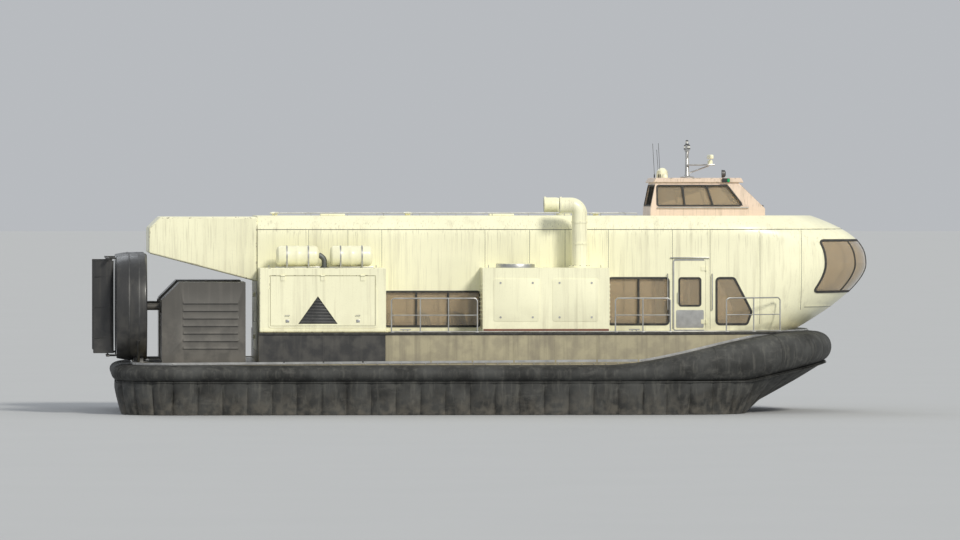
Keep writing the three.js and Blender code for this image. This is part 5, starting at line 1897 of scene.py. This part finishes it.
# The blade as (radius, chord, thickness, pitch in degrees).
BLADE_ROWS = (
    (0.12, 0.20, 0.090, 62),
    (0.42, 0.30, 0.060, 48),
    (0.85, 0.32, 0.036, 33),
    (1.335, 0.22, 0.018, 22),
)
BLADE_RADII = (0.12, 0.25, 0.4, 0.55, 0.7, 0.85, 1.0, 1.12, 1.121, 1.2, 1.27, 1.31, 1.33)
# The blade's section in halves of its chord and thickness.
BLADE_FOIL = (
    (0.5, 0.0), (0.46, 0.42), (0.3, 0.9), (0.1, 1.0), (-0.15, 0.85), (-0.38, 0.4), (-0.5, 0.04),
    (-0.5, -0.04), (-0.38, -0.2), (-0.15, -0.45), (0.1, -0.6), (0.3, -0.6), (0.46, -0.32),
)
# Radii where the tips' paint begins and where they start to round off, and how far the rounding goes.
TIP_PAINT, TIP_START, TIP_REACH = 1.12, 1.15, 0.195
RUDDER_OFFSET = 0.56


def duct_ring(name, y):
    """The ring with its rounded lip, the hub on its vanes, and the rudders' bearers."""
    along = at(0, y, DUCT_Z, 90)
    bm = bmesh.new()
    lip = [(1.435 - 0.065 * math.cos(a), -9.565 + 0.065 * math.sin(a)) for a in frange(0, math.pi, 9)]
    outer = [(1.498, -9.75), (1.485, -10.1), (1.44, -10.345), (1.425, -10.35)]
    inner = [(1.405, -10.345), (1.372, -10.2), (1.37, -9.9), (1.37, -9.62)]
    lathe(bm, [(1.37, -9.62), *lip, *outer, *inner], 96, along)
    hub_end = [(0.15, -10.31), (0.1, -10.34), (0, -10.35)]
    lathe(bm, [(0, -9.95), (0.168, -9.95), (0.17, -9.97), (0.17, -10.26), *hub_end], 40, along)
    for angle in turns(4):
        duct_vane(bm, y, angle + math.pi / 4)
    for z in (DUCT_Z + 1.36, DUCT_Z - 1.36):
        block(bm, (RUDDER_X - 0.05, y - 0.88, z - 0.022), (RUDDER_X + 0.05, y + 0.88, z + 0.022), 0.008)
        for middle in (y - 0.33, y + 0.33):
            low = (RUDDER_X - 0.03, middle - 0.028, z - 0.022)
            block(bm, low, (-10.2, middle + 0.028, z + 0.022), 0.006)
    piece(f"duct_ring_{name}", bm, "black_paint", node=f"duct_{name}")


def duct_mounting(name, y):
    """The duct's foot with its struts, and bands round the ring."""
    bm = bmesh.new()
    foot = [(y - 0.66, 1.4503), (y + 0.66, 1.4503), (y + 0.5, 1.66), (y - 0.5, 1.66)]
    plate(bm, foot, -9.88, -9.6, "x", 0.01)
    for _, s in SIDES:
        tube(bm, [(-9.74, y + s * 0.62, 1.47), (-9.74, y + s * 1.18, 2.08)], 0.04, 14)
        tube(bm, [(-9.72, y + s * 0.62, 1.47), (-9.0, y + s * 0.62, 1.47)], 0.02, 8)
    for x in (-9.72, -10.0):
        hoop(bm, 1.485, 1.5, -0.02, 0.02, 96, at(x, y, DUCT_Z, 90))
    piece(f"duct_mounting_{name}", bm, "dark_metal")


def duct_vane(bm, y, angle, x=-10.16):
    """A foil between the hub and the ring."""
    half = [(0.08, 0.016), (0, 0.018), (-0.11, 0.002)]
    outline = [(0.11, 0), *half, *((u, -v) for u, v in reversed(half))]
    place = at(x, y, DUCT_Z, math.degrees(angle), "X")
    loft(bm, [[place @ Vector((u, v, radius)) for u, v in outline] for radius in (0.12, 1.375)])


def blade_section(radius):
    """Chord, thickness and pitch in degrees of the blade at a radius."""
    for low, high in zip(BLADE_ROWS, BLADE_ROWS[1:]):
        if radius <= high[0]:
            share = (radius - low[0]) / (high[0] - low[0])
            return [a + (b - a) * share for a, b in zip(low[1:], high[1:])]


def blade_ring(place, radius):
    """The blade's outline at a radius, narrower where the tip rounds off."""
    chord, thick, pitch = blade_section(radius)
    past_start = max(0.0, (radius - TIP_START) / TIP_REACH)
    tip = math.sqrt(max(0.0, 1 - past_start**2.2))
    chord, thick = chord * max(tip, 0.25), thick / 2 * max(tip, 0.3)
    turn = Matrix.Rotation(-math.radians(pitch), 3, "Z")
    return [place @ (turn @ Vector((v * thick, u * chord, 0)) + UP * radius) for u, v in BLADE_FOIL]


def propeller(name, y):
    """A round hub with its blades, whose tips are painted."""
    body = f"propeller_{name}_rotor"
    bm = bmesh.new()
    nose = [(0.11 + 0.08 * math.cos(a), 0.05 + 0.15 * math.sin(a)) for a in frange(0, math.pi / 2, 8)]
    along = at(PROPELLER_X, y, DUCT_Z, 90)
    lathe(bm, [(0, -0.17), (0.18, -0.17), (0.19, -0.16), *nose, (0, 0.2)], 40, along)
    for k in range(BLADES):
        place = at(PROPELLER_X, y, DUCT_Z, REST_TURN + 360 / BLADES * k, "X")
        loft(bm, [blade_ring(place, radius) for radius in BLADE_RADII])
    for face in bm.faces:
        middle = face.calc_center_median()
        if math.hypot(middle.y - y, middle.z - DUCT_Z) > TIP_PAINT:
            face.material_index = 1
    finishes = ("propeller_paint", "tip_paint")
    piece(f"propeller_blades_{name}", bm, finishes, body, f"propeller_{name}")


def rudder(name, row, y):
    """A foil between two end plates on its stock, with stiffeners."""
    half = [(0.16, 0.018), (0.12, 0.036), (0.04, 0.045), (-0.08, 0.040), (-0.25, 0.02), (-0.4, 0.003)]
    foil = [(0.17, 0), *half, *((u, -v) for u, v in reversed(half))]
    end_plate = [(0.18, -0.03), (0.18, 0.03), (0.04, 0.055), (-0.4, 0.012), (-0.4, -0.012), (0.04, -0.055)]
    bm = bmesh.new()
    plate(bm, [(RUDDER_X + u, y + v) for u, v in foil], DUCT_Z - RUDDER_HALF, DUCT_Z + RUDDER_HALF, "z")
    for end in (1, -1):
        low, high = sorted((DUCT_Z + end * RUDDER_HALF, DUCT_Z + end * (RUDDER_HALF + 0.01)))
        plate(bm, [(RUDDER_X + u, y + v) for u, v in end_plate], low, high, "z")
        tube(bm, [(RUDDER_X, y, DUCT_Z + end * reach) for reach in (1.25, 1.334)], 0.022, 14)
    for z in (DUCT_Z - 0.86, DUCT_Z, DUCT_Z + 0.86):
        ends = (RUDDER_X - 0.35, RUDDER_X + 0.14)
        strip(bm, [(Vector((x, y, z)), UP) for x in ends], 0.094, 0.008, sink=0.008)
    body, node = f"rudder_{name}_{row}_blade", f"rudder_{name}_{row}"
    piece(f"rudder_foil_{name}_{row}", bm, "black_paint", body, node)


class HOVERCRAFT_OT_propulsion(Build, bpy.types.Operator):
    """Ducts, propellers and rudders at the stern."""

    bl_idname = "hovercraft.propulsion"
    bl_label = "Propulsion"

    def execute(self, context):
        for name, side in SIDES:
            y = side * DUCT_Y
            duct_ring(name, y)
            duct_mounting(name, y)
            propeller(name, y)
            for row, offset in (("inner", -RUDDER_OFFSET), ("outer", RUDDER_OFFSET)):
                rudder(name, row, y + side * offset)
        return {"FINISHED"}


# Deck gear

# Lengths of rail along each side.
RAIL_LENGTHS = ((-2.7, -0.3), (3.56, 5.1), (6.7, 8.3))
RAIL_BAY = 0.8
TOE_RAIL, MIDDLE_RAIL, HAND_RAIL = DECK + 0.02, 2.78, 3.25
ROOF_VENT = ((0, 0.1), (0.1, 0.095), (0.14, 0.07), (0.14, 0.05), (0.08, 0.045), (0.08, -0.005), (0, -0.005))


def rail_place(x, side, z):
    """A point a little inside the raft's edge."""
    u = max(0, (x - BOW_START) / (BOW - BOW_START))
    return Vector((x, side * (RAFT_HALF * (1 - u**BOW_POWER) ** (1 / BOW_POWER) - 0.06), z))


def deck_rails(name, side):
    """A toe rail, hand rails with their posts on feet, and the rails between them."""
    bm = bmesh.new()
    tube(bm, [rail_place(x, side, TOE_RAIL) for x in frange(-2.7, 8.3, 45)], 0.018)
    for start, stop in RAIL_LENGTHS:
        heights = (TOE_RAIL, TOE_RAIL + 0.3, TOE_RAIL + 0.6, HAND_RAIL - 0.06)
        rise = [rail_place(start, side, z) for z in heights]
        level = [rail_place(x, side, HAND_RAIL) for x in frange(start + 0.06, stop - 0.06, 14)]
        fall = [rail_place(stop, side, z) for z in reversed(heights)]
        tube(bm, [*rise, *level, *fall], 0.02, 12)
        tube(bm, [rail_place(x, side, MIDDLE_RAIL) for x in frange(start, stop, 14)], 0.014)
        bays = round((stop - start) / RAIL_BAY)
        for k, x in enumerate(frange(start + 0.02, stop - 0.02, bays + 1)):
            foot = rail_place(x, side, DECK)
            if 0 < k < bays:
                tube(bm, [foot, rail_place(x, side, HAND_RAIL)], 0.018, 12)
            block(bm, foot - Vector((0.05, 0.05, 0)), foot + Vector((0.05, 0.05, 0.012)), 0.004)
    piece(f"deck_rails_{name}", bm, "bare_metal", node=f"deck_rail_{name}")


def roof_gear():
    """Hatches, vents and grab rails on the cabin's roof."""
    bm = bmesh.new()
    for x in (-4.2, 0.6):
        block(bm, (x - 0.35, -0.35, ROOF - 0.005), (x + 0.35, 0.35, ROOF + 0.05), 0.02, 3)
    for x, y in ((-5.8, 1.4), (-2.0, 1.4), (3.2, -1.4)):
        lathe(bm, ROOF_VENT, 32, at(x, y, ROOF))
    piece("roof_hatches", bm, "white_paint")
    bm = bmesh.new()
    rail = ROOF + 0.075
    for _, side in SIDES:
        y = side * 2.35
        tube(bm, [(x, y, rail) for x in frange(-5.9, 4.3, 30)], 0.013, 8)
        for x in frange(-5.9, 4.3, 11):
            tube(bm, [(x, y, ROOF - 0.01), (x, y, rail)], 0.01, 8)
    piece("roof_grab_rails", bm, "bare_metal")


class HOVERCRAFT_OT_deck_gear(Build, bpy.types.Operator):
    """Deck rails, roof hatches, roof vents and the roof's grab rails."""

    bl_idname = "hovercraft.deck_gear"
    bl_label = "Deck gear"

    def execute(self, context):
        for name, side in SIDES:
            deck_rails(name, side)
        roof_gear()
        return {"FINISHED"}


# Seating

SEAT_ROWS, ROW_PITCH, FIRST_ROW = 10, 1.0, -5.5
SEATS, SEAT_WIDTH, AISLE = 4, 0.57, 0.42
SALOON_FLOOR = 1.7503
# Heights of the frame's bars and of the arm rests over the floor.
SEAT_BARS, SEAT_ARMS = 0.30, 0.58


def seat_bank(name, side, cushion, back):
    """The rows of seats on one side of the aisle."""
    pads = bmesh.new()
    stands = bmesh.new()
    near, far = span(side, AISLE + 0.02, AISLE + SEATS * SEAT_WIDTH - 0.02)
    for row in range(SEAT_ROWS):
        x = FIRST_ROW + row * ROW_PITCH
        for seat in range(SEATS):
            y = side * (AISLE + (seat + 0.5) * SEAT_WIDTH)
            add_mesh(pads, cushion, at(x + 0.29, y, SALOON_FLOOR + 0.385, -3))
            add_mesh(pads, back, at(x - 0.065, y, SALOON_FLOOR + 0.745, -12))
            seat_stand(stands, x, y)
        for bar in (x + 0.14, x + 0.42):
            tube(stands, [(bar, y, SALOON_FLOOR + SEAT_BARS) for y in (near, far)], 0.022)
    obj = piece(f"seat_pads_{name}", pads, "seat_fabric", "craft", f"seats_{name}", 60)
    piece(f"seat_stands_{name}", stands, "dark_metal")


def seat_stand(bm, x, y):
    """A moulded back shell, an arm and two legs under one seat."""
    shell = [(-0.115, 0.42), (-0.085, 0.40), (-0.215, 1.03), (-0.245, 1.02)]
    plate(bm, [(x + u, SALOON_FLOOR + v) for u, v in shell], y - 0.23, y + 0.23, "y")
    side, arm, bar = y - SEAT_WIDTH / 2, SALOON_FLOOR + SEAT_ARMS, SALOON_FLOOR + SEAT_BARS
    block(bm, (x - 0.06, side - 0.02, arm), (x + 0.26, side + 0.02, arm + 0.03), 0.008)
    tube(bm, [(x - 0.03, side, bar), (x - 0.07, side, arm)], 0.012, 6)
    for foot, head in ((0.42, 0.28), (0.08, 0.22)):
        tube(bm, [(x + foot, y, SALOON_FLOOR), (x + head, y, bar)], 0.014, 6)


class HOVERCRAFT_OT_seating(Build, bpy.types.Operator):
    """Passenger seats: padded cushions and backs on their frames."""

    bl_idname = "hovercraft.seating"
    bl_label = "Seating"

    def execute(self, context):
        cushion = puffed("cushion", (0.44, 0.50, 0.085))
        back = puffed("backrest", (0.085, 0.50, 0.64))
        for name, side in SIDES:
            seat_bank(name, side, cushion, back)
        for mesh in (cushion, back):
            bpy.data.meshes.remove(mesh)
        return {"FINISHED"}


# Stage

# Name, strength, apparent size, azimuth and elevation in degrees, and colour.
SUNS = (
    ("key_light", 2.4, 12, 30, 34, (1.0, 0.96, 0.86)),
    ("back_light", 0.5, 30, 200, 40, (0.9, 0.95, 1.0)),
)
SKY, SKY_STRENGTH = (0.80, 0.83, 0.87, 1), 0.60
FLOOR_RADIUS = 1100
AIM = Vector((0, 0, 4.0))


def bearing(azimuth, elevation=0.0):
    """The direction at angles in degrees round from the starboard beam and up."""
    a, e = math.radians(azimuth), math.radians(elevation)
    return Vector((math.sin(a) * math.cos(e), -math.cos(a) * math.cos(e), math.sin(e)))


def studio_light(scene):
    """An even sky and the suns."""
    world = bpy.data.worlds.new("studio_light")
    world.use_nodes = True
    background = world.node_tree.nodes["Background"]
    background.inputs["Color"].default_value = SKY
    background.inputs["Strength"].default_value = SKY_STRENGTH
    scene.world = world
    for name, strength, size, azimuth, elevation, colour in SUNS:
        sun = bpy.data.lights.new(name, "SUN")
        sun.energy = strength
        sun.angle = math.radians(size)
        sun.color = colour
        obj = bpy.data.objects.new(name, sun)
        obj.rotation_euler = bearing(azimuth, elevation).to_track_quat("Z", "Y").to_euler()
        scene.collection.objects.link(obj)


def studio_camera(scene):
    view = scene.hovercraft_view
    camera = bpy.data.objects.new("camera", bpy.data.cameras.new("camera"))
    camera.location = bearing(view.azimuth) * view.distance + UP * view.height
    camera.rotation_euler = (camera.location - AIM).to_track_quat("Z", "Y").to_euler()
    camera.data.lens = view.lens
    camera.data.clip_end = 3000
    scene.collection.objects.link(camera)
    scene.camera = camera


class HOVERCRAFT_OT_stage(Build, bpy.types.Operator):
    """Pale floor, soft light and the camera."""

    bl_idname = "hovercraft.stage"
    bl_label = "Stage"

    def execute(self, context):
        bm = bmesh.new()
        bmesh.ops.create_circle(bm, cap_ends=True, segments=96, radius=FLOOR_RADIUS)
        floor = placed_object("studio_floor", bm)
        floor.data.materials.append(finish("floor_paint"))
        studio_light(context.scene)
        studio_camera(context.scene)
        context.scene.view_settings.view_transform = "Standard"
        return {"FINISHED"}


# Registration

STEPS = (
    HOVERCRAFT_OT_stage,
    HOVERCRAFT_OT_skirt,
    HOVERCRAFT_OT_raft,
    HOVERCRAFT_OT_cabin,
    HOVERCRAFT_OT_windows,
    HOVERCRAFT_OT_doors,
    HOVERCRAFT_OT_wheelhouse,
    HOVERCRAFT_OT_mast,
    HOVERCRAFT_OT_housings,
    HOVERCRAFT_OT_propulsion,
    HOVERCRAFT_OT_deck_gear,
    HOVERCRAFT_OT_seating,
)

GROUPS = (
    ("hovercraft_skirt", HovercraftSkirt),
    ("hovercraft_colours", HovercraftColours),
    ("hovercraft_view", HovercraftView),
)


class HOVERCRAFT_PT_sidebar(bpy.types.Panel):
    """Lists the building steps and their settings."""

    bl_idname = "HOVERCRAFT_PT_sidebar"
    bl_label = "Hovercraft"
    bl_space_type = "VIEW_3D"
    bl_region_type = "UI"
    bl_category = "Hovercraft"

    def draw(self, context):
        for name, _ in GROUPS:
            group = getattr(context.scene, name)
            for setting in group.__annotations__:
                self.layout.prop(group, setting)
        for step in STEPS:
            self.layout.operator(step.bl_idname)


def register():
    for name, group in GROUPS:
        bpy.utils.register_class(group)
        setattr(bpy.types.Scene, name, bpy.props.PointerProperty(type=group))
    for item in (*STEPS, HOVERCRAFT_PT_sidebar):
        bpy.utils.register_class(item)


def unregister():
    for item in (HOVERCRAFT_PT_sidebar, *reversed(STEPS)):
        bpy.utils.unregister_class(item)
    for name, group in reversed(GROUPS):
        delattr(bpy.types.Scene, name)
        bpy.utils.unregister_class(group)


def main():
    """Builds every group of pieces."""
    register()
    for step in STEPS:
        group, name = step.bl_idname.split(".")
        getattr(getattr(bpy.ops, group), name)()


if __name__ == "__main__":
    main()
